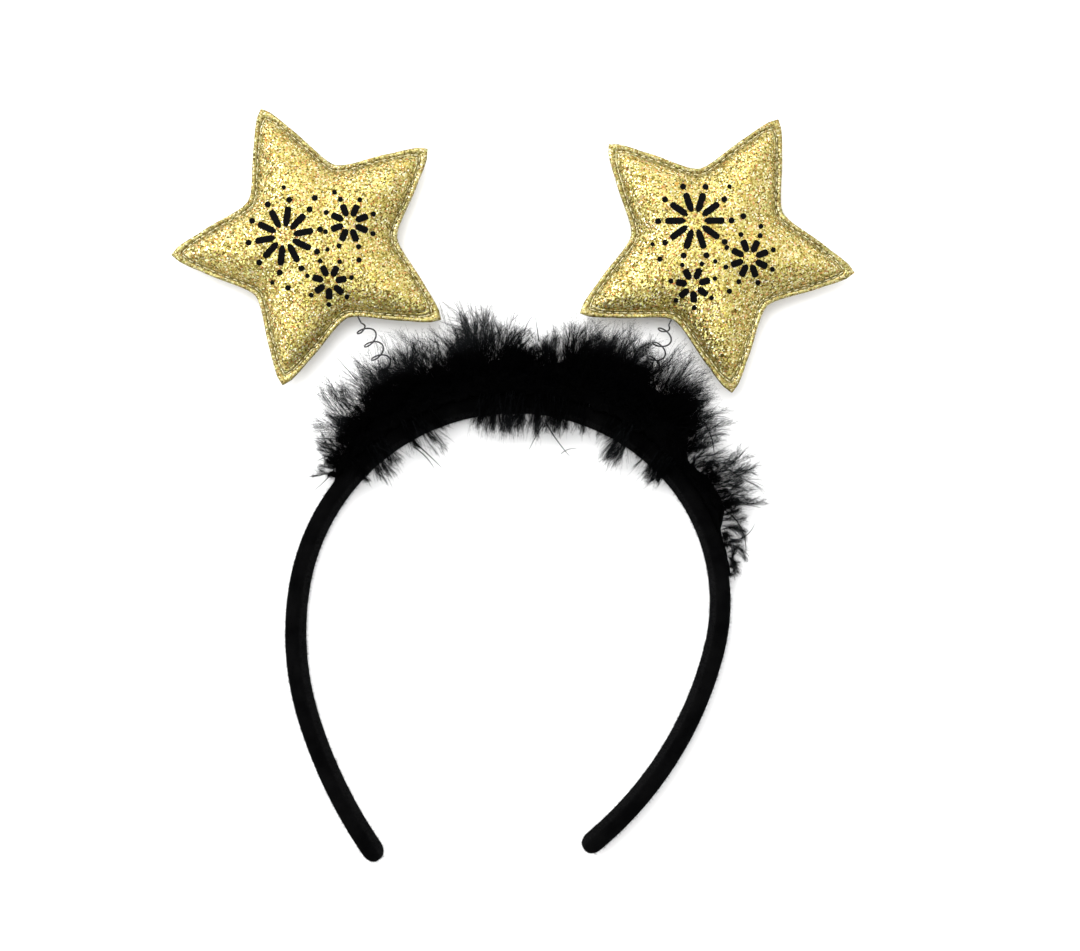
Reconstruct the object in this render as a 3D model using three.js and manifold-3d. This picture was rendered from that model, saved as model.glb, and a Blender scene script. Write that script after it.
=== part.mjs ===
// Star headband: a velvet hoop with a feather trim and two padded stars on wire springs.
// It lies on its side. Millimetres, +Z up, +Y towards the stars, +X to the right.

import * as THREE from 'three';
import { mergeVertices } from 'three/addons/utils/BufferGeometryUtils.js';
import Module from 'manifold-3d';

const wasm = await Module();
wasm.setup();

// Clearance kept between two pieces that touch on the real object
const FIT = 0.3;

// Band: hoop line, section and lie; CORNER_LIMIT is the largest corner as a share of a side
const HEAD_RADIUS = 66;
const BAND_WIDTH = 10;
const BAND_THICKNESS = 4.8;
const BAND_CORNER = 2;
const CORNER_LIMIT = 0.45;
const BAND_TILT = 14;
const BAND_PRESS = 0.35;
const BAND_TIP = 4;
const BAND_STEP = 9;

// Rounding of the band's tips: places along a tip from its end, and the size that its end keeps
const TIP_PLACES = [0, 0.28, 0.64, 0.92];
const TIP_BLUNT = 0.25;

// Hoop line from the crown down each side: radius is a share of HEAD_RADIUS, sweep is in degrees
const LEFT_ARCS = [
  { radius: 1.04, sweep: 80.5 },
  { radius: 1.37, sweep: 26.8 },
  { radius: 2.32, sweep: 18.6 },
];
const RIGHT_ARCS = [
  { radius: 1.0, sweep: 46.9 },
  { radius: 0.92, sweep: 56.8 },
  { radius: 1.74, sweep: 38.4 },
];

// Stars: size, padding and cloth
const STAR_REACH = 45.8;
const STAR_THICKNESS = 16;
const STAR_PRESS = 0.8;
const STAR_ARMS = 5;
const FLANGE_WIDTH = 2.8;
const CLOTH = 1;

// Outline from an arm's tip to the notch: turn is a share of half an arm, reach of STAR_REACH
const ARM_OUTLINE = [
  { turn: 0, reach: 1.0 },
  { turn: 0.083, reach: 0.952 },
  { turn: 0.25, reach: 0.812 },
  { turn: 0.75, reach: 0.59 },
  { turn: 1, reach: 0.552 },
];

// Padded face from the middle to the seam: out is a share of the seam line, rise of the padding
const PADDING = [
  { out: 0, rise: 1 },
  { out: 0.34, rise: 0.95 },
  { out: 0.64, rise: 0.78 },
  { out: 0.87, rise: 0.42 },
  { out: 1, rise: 0 },
];

// Springs: wire and coil; LEAD_TURNS is how many turns' worth of steps the straight leads get
const WIRE = 0.5;
const WIRE_SIDES = 5;
const COIL_DIAMETER = 5.2;
const COIL_PITCH = 4.9;
const COIL_SEGMENTS = 8;
const COIL_ENDS = 3;
const SPRING_LENGTH = 33;
const LEAD_IN_BAND = 3.3;
const LEAD_IN_STAR = 9;
const LEAD_TURNS = 1.5;
const WAY_SIDES = 8;

// Where each star stands: foot is a share of HEAD_RADIUS along the hoop line from the crown, lean and
// turn are degrees, length is a share of SPRING_LENGTH, aside is a share of STAR_REACH along the seam
const STANDS = [
  { side: 'left', foot: -0.483, lean: 28.3, length: 1, aside: 0.066, turn: 292.5 },
  { side: 'right', foot: 0.545, lean: -22.5, length: 1, aside: -0.015, turn: 242.4 },
];

// Feather trim: ends as shares of HEAD_RADIUS along the hoop line, the longest lock, the height of the
// fluff, and the soft core as a share of both
const TRIM_LEFT = -0.94;
const TRIM_RIGHT = 1.32;
const FEATHER_REACH = 29;
const FEATHER_HEIGHT = 27;
const CORE_SHARE = 0.64;
const CORE_SIDES = 8;
const CORE_SINK = 0.14;
const LOCK_SPACING = 7.6;
const LOCK_WIDTH = 8;
const LOCK_FLATNESS = 0.5;
const LOCK_SEED = 11;

// Line of a lock in the section: root and bend as shares of the core, and how much locks differ, with
// turn in degrees and the rest as shares of the reach
const LOCK_LINE = { root: 0.45, bend: 1.12, turn: 14, shortest: 0.84, vary: 0.28, lean: 0.5 };

// Line of a lock that hangs inside the hoop: place is its share of a step along the trim, root a share
// of the core, over a share of the band's half thickness, bend and low shares of the band's top, and
// the rest say how much such locks differ
const HANG_LINE = {
  place: 0.5,
  root: 0.45,
  over: 0.5,
  bend: 1.95,
  low: 0.6,
  vary: 0.5,
  shortest: 0.65,
  lean: 1,
};

// How many times as far as its bend a lock's tip leans along the trim
const TIP_LEAN = 3;

// Room kept round a lock's line, as a share of LOCK_WIDTH, and the spots tried for it along the trim
const LOCK_ROOM = 0.45;
const LOCK_SPOTS = [0, 0.6, -0.6, 1.2, -1.2];
const CLEAR_STEPS = 10;
const CLEAR_FROM = 3;

// Fullness along the trim: at is the share of its length, out and inner are shares of FEATHER_REACH
const FULLNESS = [
  { at: 0, out: 0.38, inner: 0 },
  { at: 0.06, out: 0.68, inner: 0 },
  { at: 0.16, out: 0.92, inner: 0.3 },
  { at: 0.24, out: 0.8, inner: 0 },
  { at: 0.32, out: 0.82, inner: 0 },
  { at: 0.38, out: 1.08, inner: 0.28 },
  { at: 0.44, out: 0.76, inner: 0.42 },
  { at: 0.53, out: 1.0, inner: 0.42 },
  { at: 0.65, out: 0.98, inner: 0.32 },
  { at: 0.72, out: 0.97, inner: 0.24 },
  { at: 0.79, out: 0.56, inner: 0.18 },
  { at: 0.87, out: 0.74, inner: 0 },
  { at: 0.94, out: 0.44, inner: 0 },
  { at: 1, out: 0.3, inner: 0 },
];

// Locks round the core in one step along the trim: place is a share of the step, rise is degrees above
// level, share is of the local reach
const LOCK_FAN = [
  { place: 0.3, rise: -18, share: 1 },
  { place: 0.7, rise: 16, share: 1 },
  { place: 0.3, rise: 50, share: 1 },
  { place: 0.7, rise: 88, share: 0.94 },
];

// Side of the block that cuts the trim level with the floor, in head radii
const GROUND_SPAN = 8;

// Half widths along a lock, as shares of LOCK_WIDTH / 2
const LOCK_TAPER = [
  { at: 0, width: 0.85 },
  { at: 0.45, width: 1 },
  { at: 0.8, width: 0.55 },
];

const UP = new THREE.Vector3(0, 0, 1);

// Points closer than this are one point
const WELD = 1e-4;

const velvet = new THREE.MeshStandardMaterial({ color: 0x0b0b0c, roughness: 0.95, metalness: 0 });
const plume = new THREE.MeshStandardMaterial({ color: 0x08080a, roughness: 0.85, metalness: 0 });
const glitter = new THREE.MeshStandardMaterial({ color: 0xd2c17a, roughness: 0.38, metalness: 0.75 });
const filling = new THREE.MeshStandardMaterial({ color: 0xf2efe8, roughness: 1, metalness: 0 });
const steel = new THREE.MeshStandardMaterial({ color: 0x4a4a4c, roughness: 0.35, metalness: 0.9 });

// Numbers between 0 and 1 that are the same each time
function makeRandom(seed) {
  let state = seed;
  return () => {
    state = (state * 1103515245 + 12345) % 2147483648;
    return state / 2147483648;
  };
}

// Value of a table column at a place along another column
function lookUp(rows, along, column, place) {
  const next = rows.findIndex((row) => row[along] >= place);
  if (next <= 0) {
    return next === 0 ? rows[0][column] : rows[rows.length - 1][column];
  }
  const a = rows[next - 1];
  const b = rows[next];
  const part = (place - a[along]) / (b[along] - a[along]);
  return a[column] + (b[column] - a[column]) * part;
}

// Closed body through rings of points that run anticlockwise about the way of travel
function loft(rings, startPole, endPole) {
  const points = rings.flat().concat([startPole, endPole]);
  const sides = rings[0].length;
  const index = [];
  const start = points.length - 2;
  const end = points.length - 1;
  const last = (rings.length - 1) * sides;
  for (let j = 0; j < sides; j += 1) {
    const k = (j + 1) % sides;
    index.push(start, k, j);
    index.push(end, last + j, last + k);
    for (let i = 0; i < rings.length - 1; i += 1) {
      const a = i * sides + j;
      const b = i * sides + k;
      index.push(a, b, b + sides);
      index.push(a, b + sides, a + sides);
    }
  }
  const geometry = new THREE.BufferGeometry().setFromPoints(points);
  geometry.setIndex(index);
  return geometry;
}

function centreOf(ring) {
  const sum = ring.reduce((total, point) => total.add(point), new THREE.Vector3());
  return sum.divideScalar(ring.length);
}

function toSolid(geometry) {
  const bare = geometry.clone();
  bare.deleteAttribute('normal');
  bare.deleteAttribute('uv');
  const merged = mergeVertices(bare, WELD);
  const vertProperties = merged.attributes.position.array;
  const triVerts = Uint32Array.from(merged.index.array);
  return new wasm.Manifold(new wasm.Mesh({ numProp: 3, vertProperties, triVerts }));
}

function toGeometry(solid) {
  const mesh = solid.getMesh();
  const geometry = new THREE.BufferGeometry();
  geometry.setAttribute('position', new THREE.Float32BufferAttribute(mesh.vertProperties, 3));
  geometry.setIndex(Array.from(mesh.triVerts));
  return geometry;
}

// The largest closed surface of a geometry, without the small hollows that crossing locks shut in
function largestShell(geometry) {
  const index = Array.from(geometry.index.array);
  const parent = Array.from({ length: geometry.attributes.position.count }, (_, i) => i);
  const rootOf = (i) => {
    let root = i;
    while (parent[root] !== root) {
      root = parent[root];
    }
    parent[i] = root;
    return root;
  };
  for (let i = 0; i < index.length; i += 3) {
    parent[rootOf(index[i + 1])] = rootOf(index[i]);
    parent[rootOf(index[i + 2])] = rootOf(index[i]);
  }
  const sizes = new Map();
  for (const vertex of index) {
    const root = rootOf(vertex);
    sizes.set(root, (sizes.get(root) ?? 0) + 1);
  }
  const [largest] = [...sizes].toSorted((a, b) => b[1] - a[1])[0];
  const shell = geometry.clone();
  shell.setIndex(index.filter((vertex) => rootOf(vertex) === largest));
  return shell;
}

function namedMesh(name, geometry, material) {
  const flat = geometry.index ? geometry.toNonIndexed() : geometry;
  flat.computeVertexNormals();
  const mesh = new THREE.Mesh(flat, material);
  mesh.name = name;
  return mesh;
}

// Round bar from one point to another
function roundBar(from, to, radius) {
  const length = from.distanceTo(to);
  const geometry = new THREE.CylinderGeometry(radius, radius, length, WAY_SIDES);
  const along = to.clone().sub(from).normalize();
  const turn = new THREE.Quaternion().setFromUnitVectors(new THREE.Vector3(0, 1, 0), along);
  geometry.applyQuaternion(turn);
  const middle = from.clone().add(to).multiplyScalar(0.5);
  geometry.translate(middle.x, middle.y, middle.z);
  return geometry;
}

// Length of one side of the hoop line
function sideLength(arcs) {
  const radians = THREE.MathUtils.degToRad(1);
  return arcs.reduce((sum, arc) => sum + arc.radius * HEAD_RADIUS * arc.sweep * radians, 0);
}

// Place, way along and way out of the hoop line, at a distance from the crown, right side positive
function hoopAt(distance) {
  const side = distance < 0 ? -1 : 1;
  const arcs = side < 0 ? LEFT_ARCS : RIGHT_ARCS;
  let rest = Math.abs(distance);
  let heading = 0;
  let x = 0;
  let y = 0;
  for (const arc of arcs) {
    const radius = arc.radius * HEAD_RADIUS;
    const turn = Math.min(rest / radius, THREE.MathUtils.degToRad(arc.sweep));
    x += side * radius * (Math.sin(heading + turn) - Math.sin(heading));
    y -= radius * (Math.cos(heading) - Math.cos(heading + turn));
    heading += turn;
    rest -= turn * radius;
  }
  x += side * rest * Math.cos(heading);
  y -= rest * Math.sin(heading);
  return {
    point: new THREE.Vector3(x, y, 0),
    along: new THREE.Vector3(Math.cos(heading), -side * Math.sin(heading), 0),
    out: new THREE.Vector3(side * Math.sin(heading), Math.cos(heading), 0),
  };
}

const LEFT_END = -sideLength(LEFT_ARCS);
const RIGHT_END = sideLength(RIGHT_ARCS);

// Band section, out of the hoop and up: a tilted bar with round corners, grown all round by grow and
// scaled for the tips
function bandSection(grow, scale) {
  const tilt = THREE.MathUtils.degToRad(BAND_TILT);
  const largest = Math.min(BAND_THICKNESS, BAND_WIDTH) * CORNER_LIMIT;
  const corner = Math.min(BAND_CORNER, largest) + grow;
  const halfOut = BAND_THICKNESS / 2 + grow - corner;
  const halfUp = BAND_WIDTH / 2 + grow - corner;
  const corners = [
    { out: 1, up: -1, from: -90 },
    { out: 1, up: 1, from: 0 },
    { out: -1, up: 1, from: 90 },
    { out: -1, up: -1, from: 180 },
  ];
  const points = [];
  for (const { out, up, from } of corners) {
    for (const step of [0, 45, 90]) {
      const angle = THREE.MathUtils.degToRad(from + step);
      const across = (halfOut * out + corner * Math.cos(angle)) * scale;
      const height = (halfUp * up + corner * Math.sin(angle)) * scale;
      points.push(new THREE.Vector2(across, height).rotateAround(new THREE.Vector2(), -tilt));
    }
  }
  return points;
}

const BAND_LOW = Math.min(...bandSection(0, 1).map((point) => point.y));
const BAND_HIGH = Math.max(...bandSection(0, 1).map((point) => point.y));
const BAND_OUTER = Math.max(...bandSection(0, 1).map((point) => point.x));
const BAND_MIDDLE = -BAND_LOW - BAND_PRESS;
const BAND_TOP = BAND_MIDDLE + BAND_HIGH;

// Band from one distance along the hoop to another, pressed flat where it lies unless it is grown
function bandGeometry(from, to, grow) {
  const stations = [];
  for (const share of TIP_PLACES) {
    stations.push({ distance: from + BAND_TIP * share, share });
  }
  const inner = to - from - 2 * BAND_TIP;
  const degrees = THREE.MathUtils.radToDeg((to - from) / HEAD_RADIUS);
  const steps = Math.ceil(degrees / BAND_STEP);
  for (let i = 0; i <= steps; i += 1) {
    stations.push({ distance: from + BAND_TIP + (inner * i) / steps, share: 1 });
  }
  for (const share of TIP_PLACES.toReversed()) {
    stations.push({ distance: to - BAND_TIP * share, share });
  }
  const rings = stations.map(({ distance, share }) => {
    const { point, out } = hoopAt(distance);
    const round = Math.sqrt(1 - (1 - share) ** 2);
    return bandSection(grow, TIP_BLUNT + (1 - TIP_BLUNT) * round).map(({ x, y }) => {
      const floor = grow > 0 ? -grow : 0;
      const height = Math.max(BAND_MIDDLE + y, floor);
      return point.clone().addScaledVector(out, x).addScaledVector(UP, height);
    });
  });
  return loft(rings, centreOf(rings[0]), centreOf(rings.at(-1)));
}

// Star sides: height of the seam plane, notch, and the distance of every side from the middle
const FLANGE_HEIGHT = STAR_THICKNESS / 2 - STAR_PRESS;
const NOTCH_REACH = STAR_REACH * ARM_OUTLINE.at(-1).reach;
const HALF_ARM = Math.PI / STAR_ARMS;
const SIDE_RUN = NOTCH_REACH * Math.sin(HALF_ARM);
const SIDE_DROP = STAR_REACH - NOTCH_REACH * Math.cos(HALF_ARM);
const SIDE_DISTANCE = (STAR_REACH * SIDE_RUN) / Math.hypot(SIDE_RUN, SIDE_DROP);

// How far a side of the notch falls back for each millimetre beside it
const NOTCH_SLOPE = (STAR_REACH * Math.cos(HALF_ARM) - NOTCH_REACH) / (STAR_REACH * Math.sin(HALF_ARM));

// Radius of the free space round a coil
const COIL_SPACE = (COIL_DIAMETER + WIRE) / 2 + FIT;

// Spring axis and star centre of one stand: the coil ends where it is just clear of the star
function standOf({ side, foot, lean, length, aside, turn }) {
  const { point, out } = hoopAt(foot * HEAD_RADIUS);
  const tilt = THREE.MathUtils.degToRad(lean);
  const towards = new THREE.Vector3(-Math.sin(tilt), Math.cos(tilt), 0);
  const start = point.clone().addScaledVector(UP, BAND_MIDDLE);
  const face = (BAND_OUTER + FIT + WIRE) / towards.dot(out);
  const low = start.clone().addScaledVector(towards, face);
  const high = low.clone().addScaledVector(towards, length * SPRING_LENGTH);
  high.z = FLANGE_HEIGHT;
  const notch = THREE.MathUtils.degToRad(turn);
  const inward = new THREE.Vector3(-Math.cos(notch), -Math.sin(notch), 0);
  const sideways = new THREE.Vector3(-inward.y, inward.x, 0);
  const stop = NOTCH_SLOPE * (Math.abs(aside) * STAR_REACH + COIL_SPACE) + FIT;
  const centre = high.clone().addScaledVector(towards, stop).addScaledVector(inward, NOTCH_REACH);
  centre.addScaledVector(sideways, aside * STAR_REACH);
  const axis = high.clone().sub(low).normalize();
  return { side, low, high, axis, stop, centre, turn: notch };
}

// Wire line of a spring: a straight lead in the band, the coil, and a straight lead in the star
class SpringLine extends THREE.Curve {
  constructor({ low, high, axis, stop }) {
    super();
    this.low = low;
    this.axis = axis;
    this.coil = high.distanceTo(low);
    this.turns = Math.round(this.coil / COIL_PITCH);
    this.last = stop + LEAD_IN_STAR;
    this.u = new THREE.Vector3().crossVectors(axis, UP).normalize();
    this.v = new THREE.Vector3().crossVectors(axis, this.u);
  }

  getPoint(t) {
    const wound = this.turns * Math.PI * COIL_DIAMETER;
    const place = t * (LEAD_IN_BAND + wound + this.last);
    const inCoil = THREE.MathUtils.clamp((place - LEAD_IN_BAND) / wound, 0, 1);
    const after = Math.max(place - LEAD_IN_BAND - wound, 0);
    const height = Math.min(place - LEAD_IN_BAND, 0) + inCoil * this.coil + after;
    const ends = Math.min(inCoil, 1 - inCoil) * this.turns * COIL_ENDS;
    const radius = (COIL_DIAMETER / 2) * THREE.MathUtils.smoothstep(ends, 0, 1);
    const angle = inCoil * this.turns * 2 * Math.PI;
    const point = this.low.clone().addScaledVector(this.axis, height);
    point.addScaledVector(this.u, radius * Math.cos(angle));
    return point.addScaledVector(this.v, radius * Math.sin(angle));
  }
}

function springGeometry(stand) {
  const line = new SpringLine(stand);
  const section = new THREE.Shape();
  for (let i = 0; i < WIRE_SIDES; i += 1) {
    const angle = (i * 2 * Math.PI) / WIRE_SIDES;
    const x = (WIRE / 2) * Math.cos(angle);
    const y = (WIRE / 2) * Math.sin(angle);
    if (i === 0) {
      section.moveTo(x, y);
    } else {
      section.lineTo(x, y);
    }
  }
  section.closePath();
  const steps = Math.round((line.turns + LEAD_TURNS) * COIL_SEGMENTS);
  return new THREE.ExtrudeGeometry(section, { steps, extrudePath: line });
}

// Corners of a star's outline as polar pairs, anticlockwise from one tip
function starCorners() {
  const half = ARM_OUTLINE.map(({ turn, reach }) => [turn * HALF_ARM, reach * STAR_REACH]);
  const back = half.slice(1, -1).toReversed();
  const corners = [];
  for (let i = 0; i < STAR_ARMS; i += 1) {
    corners.push(...half.map(([turn, reach]) => [2 * i * HALF_ARM + turn, reach]));
    corners.push(...back.map(([turn, reach]) => [2 * (i + 1) * HALF_ARM - turn, reach]));
  }
  return corners;
}

// Ring of points on a star's outline, at a share of it and a height
function starRing(stand, share, height) {
  return starCorners().map(([turn, reach]) => {
    const angle = turn + stand.turn - HALF_ARM;
    const x = stand.centre.x + share * reach * Math.cos(angle);
    const y = stand.centre.y + share * reach * Math.sin(angle);
    return new THREE.Vector3(x, y, height);
  });
}

// Share of the outline at which the seam runs
const SEAM = 1 - FLANGE_WIDTH / SIDE_DISTANCE;
const SEAM_RADIUS = (SEAM * (STAR_REACH + NOTCH_REACH)) / 2;
const FLANGE_TOP = FIT / 2 + CLOTH;

// Outer surface of a panel from the middle to the edge, as distance out and height over the seam plane
function panelProfile() {
  const rise = STAR_THICKNESS / 2 - FLANGE_TOP;
  const rows = PADDING.map((row) => ({
    out: row.out * SEAM_RADIUS,
    up: FLANGE_TOP + row.rise * rise,
  }));
  rows.push({ out: SEAM_RADIUS / SEAM, up: FLANGE_TOP });
  return rows;
}

// The same surface moved in by a depth
function profileInside(rows, depth) {
  const normals = rows.slice(1).map((row, i) => {
    const run = row.out - rows[i].out;
    const drop = rows[i].up - row.up;
    const length = Math.hypot(run, drop);
    return { out: drop / length, up: run / length };
  });
  const flat = { out: 0, up: 1 };
  return rows.map((row, i) => {
    const a = i > 0 ? normals[i - 1] : flat;
    const b = i > 0 && i < normals.length ? normals[i] : a;
    const reach = depth / (1 + a.out * b.out + a.up * b.up);
    return { out: row.out - (a.out + b.out) * reach, up: row.up - (a.up + b.up) * reach };
  });
}

// Star shaped body between two surfaces that are given from the middle to the edge
function starBody(stand, lower, upper, lowest) {
  const heightOf = (up) => Math.max(FLANGE_HEIGHT + up, lowest);
  const ringAt = ({ out, up }) => starRing(stand, (out / SEAM_RADIUS) * SEAM, heightOf(up));
  const pole = ({ up }) => new THREE.Vector3(stand.centre.x, stand.centre.y, heightOf(up));
  const rings = [...lower.slice(1).map(ringAt), ...upper.slice(1).toReversed().map(ringAt)];
  return loft(rings, pole(lower[0]), pole(upper[0]));
}

function mirrored(rows) {
  return rows.map(({ out, up }) => ({ out, up: -up }));
}

// The two panels and the wadding of one star, with the way for the spring's end cut in them
function starMeshes(stand) {
  const outer = panelProfile();
  const inner = profileInside(outer, CLOTH);
  const core = profileInside(outer, CLOTH + FIT).slice(0, PADDING.length - 1);
  const far = stand.high.clone().addScaledVector(stand.axis, stand.stop + LEAD_IN_STAR + FIT);
  const way = toSolid(roundBar(stand.high, far, WIRE / 2 + FIT));
  const pieces = [
    { name: 'front', lower: inner, upper: outer, lowest: 0, material: glitter },
    { name: 'back', lower: mirrored(outer), upper: mirrored(inner), lowest: 0, material: glitter },
    { name: 'wadding', lower: mirrored(core), upper: core, lowest: CLOTH + FIT, material: filling },
  ];
  return pieces.map(({ name, lower, upper, lowest, material }) => {
    const body = starBody(stand, lower, upper, lowest);
    const cut = toSolid(body).subtract(way);
    return namedMesh(`star_${stand.side}_${name}`, toGeometry(cut), material);
  });
}

// Feather trim: its length, and the oval section of its core at one place
const TRIM_START = TRIM_LEFT * HEAD_RADIUS;
const TRIM_LENGTH = (TRIM_RIGHT - TRIM_LEFT) * HEAD_RADIUS;

function trimSection(distance) {
  const at = (distance - TRIM_START) / TRIM_LENGTH;
  const reach = lookUp(FULLNESS, 'at', 'out', at) * FEATHER_REACH;
  const inner = lookUp(FULLNESS, 'at', 'inner', at) * FEATHER_REACH;
  const height = FEATHER_HEIGHT * Math.sqrt(reach / FEATHER_REACH);
  const halfOut = (CORE_SHARE * reach) / 2;
  const halfUp = (CORE_SHARE * height * (1 + CORE_SINK)) / 2;
  return { reach, inner, height, halfOut, halfUp, middle: CORE_SHARE * height - halfUp };
}

function coreGeometry() {
  const steps = Math.ceil(TRIM_LENGTH / LOCK_SPACING);
  const rings = [];
  for (let i = 0; i <= steps; i += 1) {
    const distance = TRIM_START + (TRIM_LENGTH * i) / steps;
    const { point, out } = hoopAt(distance);
    const { halfOut, halfUp, middle } = trimSection(distance);
    const ring = [];
    for (let j = 0; j < CORE_SIDES; j += 1) {
      const angle = (j * 2 * Math.PI) / CORE_SIDES;
      const place = point.clone().addScaledVector(out, halfOut * (1 + Math.cos(angle)));
      ring.push(place.addScaledVector(UP, middle + halfUp * Math.sin(angle)));
    }
    rings.push(ring);
  }
  return loft(rings, centreOf(rings[0]), centreOf(rings.at(-1)));
}

// One lock of feathers: a flat tapered blade along a bent line
function lockGeometry(line, across) {
  const rings = LOCK_TAPER.map((row) => {
    const point = line.getPoint(row.at);
    const forward = line.getTangent(row.at);
    const wide = across.clone().addScaledVector(forward, -across.dot(forward)).normalize();
    const thick = new THREE.Vector3().crossVectors(forward, wide);
    const half = (LOCK_WIDTH / 2) * row.width;
    return [
      point.clone().addScaledVector(wide, half),
      point.clone().addScaledVector(thick, half * LOCK_FLATNESS),
      point.clone().addScaledVector(wide, -half),
      point.clone().addScaledVector(thick, -half * LOCK_FLATNESS),
    ];
  });
  return loft(rings, line.getPoint(0), line.getPoint(1));
}

// True where a point is clear of a stand's star and spring by a margin
function clearOf({ low, high, centre, turn }, point, margin) {
  const axis = new THREE.Line3(low, high);
  const nearest = axis.closestPointToPoint(point, true, new THREE.Vector3());
  const x = point.x - centre.x;
  const y = point.y - centre.y;
  const around = THREE.MathUtils.euclideanModulo(Math.atan2(y, x) - turn + HALF_ARM, 2 * HALF_ARM);
  const within = Math.min(around, 2 * HALF_ARM - around) / HALF_ARM;
  const edge = lookUp(ARM_OUTLINE, 'turn', 'reach', within) * STAR_REACH;
  return nearest.distanceTo(point) > COIL_SPACE + margin && Math.hypot(x, y) > edge + margin;
}

// True where the part of a bent line that stands out of the core is clear of every stand
function keepsClear(line, stands) {
  const points = line.getPoints(CLEAR_STEPS).slice(CLEAR_FROM);
  const margin = LOCK_WIDTH * LOCK_ROOM;
  return points.every((point) => stands.every((stand) => clearOf(stand, point, margin)));
}

// Root, bend and tip of one lock in the section of the trim, as pairs of way out and height
function lockRow({ rise, share }, section, random) {
  const { reach, height, halfOut, halfUp, middle } = section;
  const { root, bend, turn, shortest, vary, lean } = LOCK_LINE;
  const angle = THREE.MathUtils.degToRad(rise + (random() - 0.5) * turn);
  const full = share * (shortest + vary * random());
  const outward = Math.cos(angle);
  const upward = Math.sin(angle);
  const lowest = (LOCK_WIDTH * LOCK_FLATNESS) / 2;
  const bendUp = Math.max(middle + halfUp * bend * upward, lowest);
  const tipUp = Math.max(middle + (height - middle) * full * upward, lowest);
  return {
    root: [halfOut * (1 + root * outward), middle + halfUp * root * upward],
    bend: [halfOut * (1 + bend * outward), bendUp],
    tip: [halfOut + (reach - halfOut) * full * outward, tipUp],
    lean: (random() - 0.5) * lean * reach,
  };
}

// The same for a lock that arches over the band and hangs inside the hoop
function hangRow({ inner, halfOut, halfUp, middle }, random) {
  const { root, over, bend, low, vary, shortest, lean } = HANG_LINE;
  const tipUp = BAND_TOP * (low + vary * random());
  return {
    root: [halfOut * root, middle + halfUp * root],
    bend: [-BAND_OUTER * over, BAND_TOP * bend],
    tip: [-inner * (shortest + vary * random()), tipUp],
    lean: (random() - 0.5) * lean * inner,
  };
}

// Adds a lock near a place, at the first spot where it keeps clear of its neighbours
function withLock(trim, place, row, stands) {
  for (const spot of LOCK_SPOTS) {
    const aside = spot * LOCK_WIDTH;
    const { point, out, along } = hoopAt(place + aside);
    const [root, bend, tip] = [row.root, row.bend, row.tip].map(
      ([outward, upward]) => point.clone().addScaledVector(out, outward).addScaledVector(UP, upward),
    );
    bend.addScaledVector(along, (row.lean + aside) / TIP_LEAN);
    tip.addScaledVector(along, row.lean + aside);
    const line = new THREE.QuadraticBezierCurve3(root, bend, tip);
    if (keepsClear(line, stands)) {
      return trim.add(toSolid(lockGeometry(line, along)));
    }
  }
  return trim;
}

// Space that one stand takes up, with clearance: its star's outline and its coil down to the band
function withoutStand(trim, stand) {
  const share = 1 + FIT / SIDE_DISTANCE;
  const top = FLANGE_HEIGHT + STAR_THICKNESS / 2 + FIT;
  const rings = [starRing(stand, share, -FIT), starRing(stand, share, top)];
  const star = loft(rings, centreOf(rings[0]), centreOf(rings[1]));
  const foot = stand.low.clone().addScaledVector(stand.axis, -BAND_THICKNESS);
  const coil = roundBar(foot, stand.high, COIL_SPACE / Math.cos(Math.PI / WAY_SIDES));
  return trim.subtract(toSolid(star)).subtract(toSolid(coil));
}

function trimGeometry(stands) {
  const random = makeRandom(LOCK_SEED);
  let trim = toSolid(coreGeometry());
  const count = Math.floor(TRIM_LENGTH / LOCK_SPACING);
  const step = TRIM_LENGTH / count;
  for (let i = 0; i < count; i += 1) {
    for (const row of LOCK_FAN) {
      const place = TRIM_START + step * (i + row.place);
      trim = withLock(trim, place, lockRow(row, trimSection(place), random), stands);
    }
    const middle = TRIM_START + step * (i + HANG_LINE.place);
    const section = trimSection(middle);
    if (section.inner > BAND_OUTER + LOCK_WIDTH * LOCK_ROOM) {
      trim = withLock(trim, middle, hangRow(section, random), stands);
    }
  }
  trim = stands.reduce(withoutStand, trim);
  trim = trim.subtract(toSolid(bandGeometry(LEFT_END, RIGHT_END, FIT)));
  const span = GROUND_SPAN * HEAD_RADIUS;
  const floor = new THREE.BoxGeometry(span, span, span).translate(0, 0, -span / 2);
  return largestShell(toGeometry(trim.subtract(toSolid(floor))));
}

function bandWithWays(stands) {
  let band = toSolid(bandGeometry(LEFT_END, RIGHT_END, 0));
  for (const { low, axis } of stands) {
    const bottom = low.clone().addScaledVector(axis, -LEAD_IN_BAND - FIT);
    band = band.subtract(toSolid(roundBar(bottom, low, WIRE / 2 + FIT)));
  }
  return toGeometry(band);
}

const stands = STANDS.map(standOf);
const group = new THREE.Group();
group.add(namedMesh('band', bandWithWays(stands), velvet));
group.add(namedMesh('feather_trim', trimGeometry(stands), plume));
for (const stand of stands) {
  group.add(namedMesh(`spring_${stand.side}`, springGeometry(stand), steel));
  group.add(...starMeshes(stand));
}

// The origin is the middle of the floor under the whole object
const box = new THREE.Box3().setFromObject(group);
const middle = box.getCenter(new THREE.Vector3());
group.position.set(-middle.x, -middle.y, -box.min.z);

export default group;
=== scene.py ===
"""Star headband: a velvet hoop with a feather trim and two padded glitter stars on wire springs.

The headband lies on its side. Sizes are in millimetres until a mesh is placed, and the frame is in
metres: +Z up from the floor, +Y from the band's ends to the stars, +X to the right.
"""

import logging
import math
from collections.abc import Callable
from dataclasses import dataclass
from enum import Enum

import bmesh
import bpy
import numpy as np
from mathutils import Matrix, Vector


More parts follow.
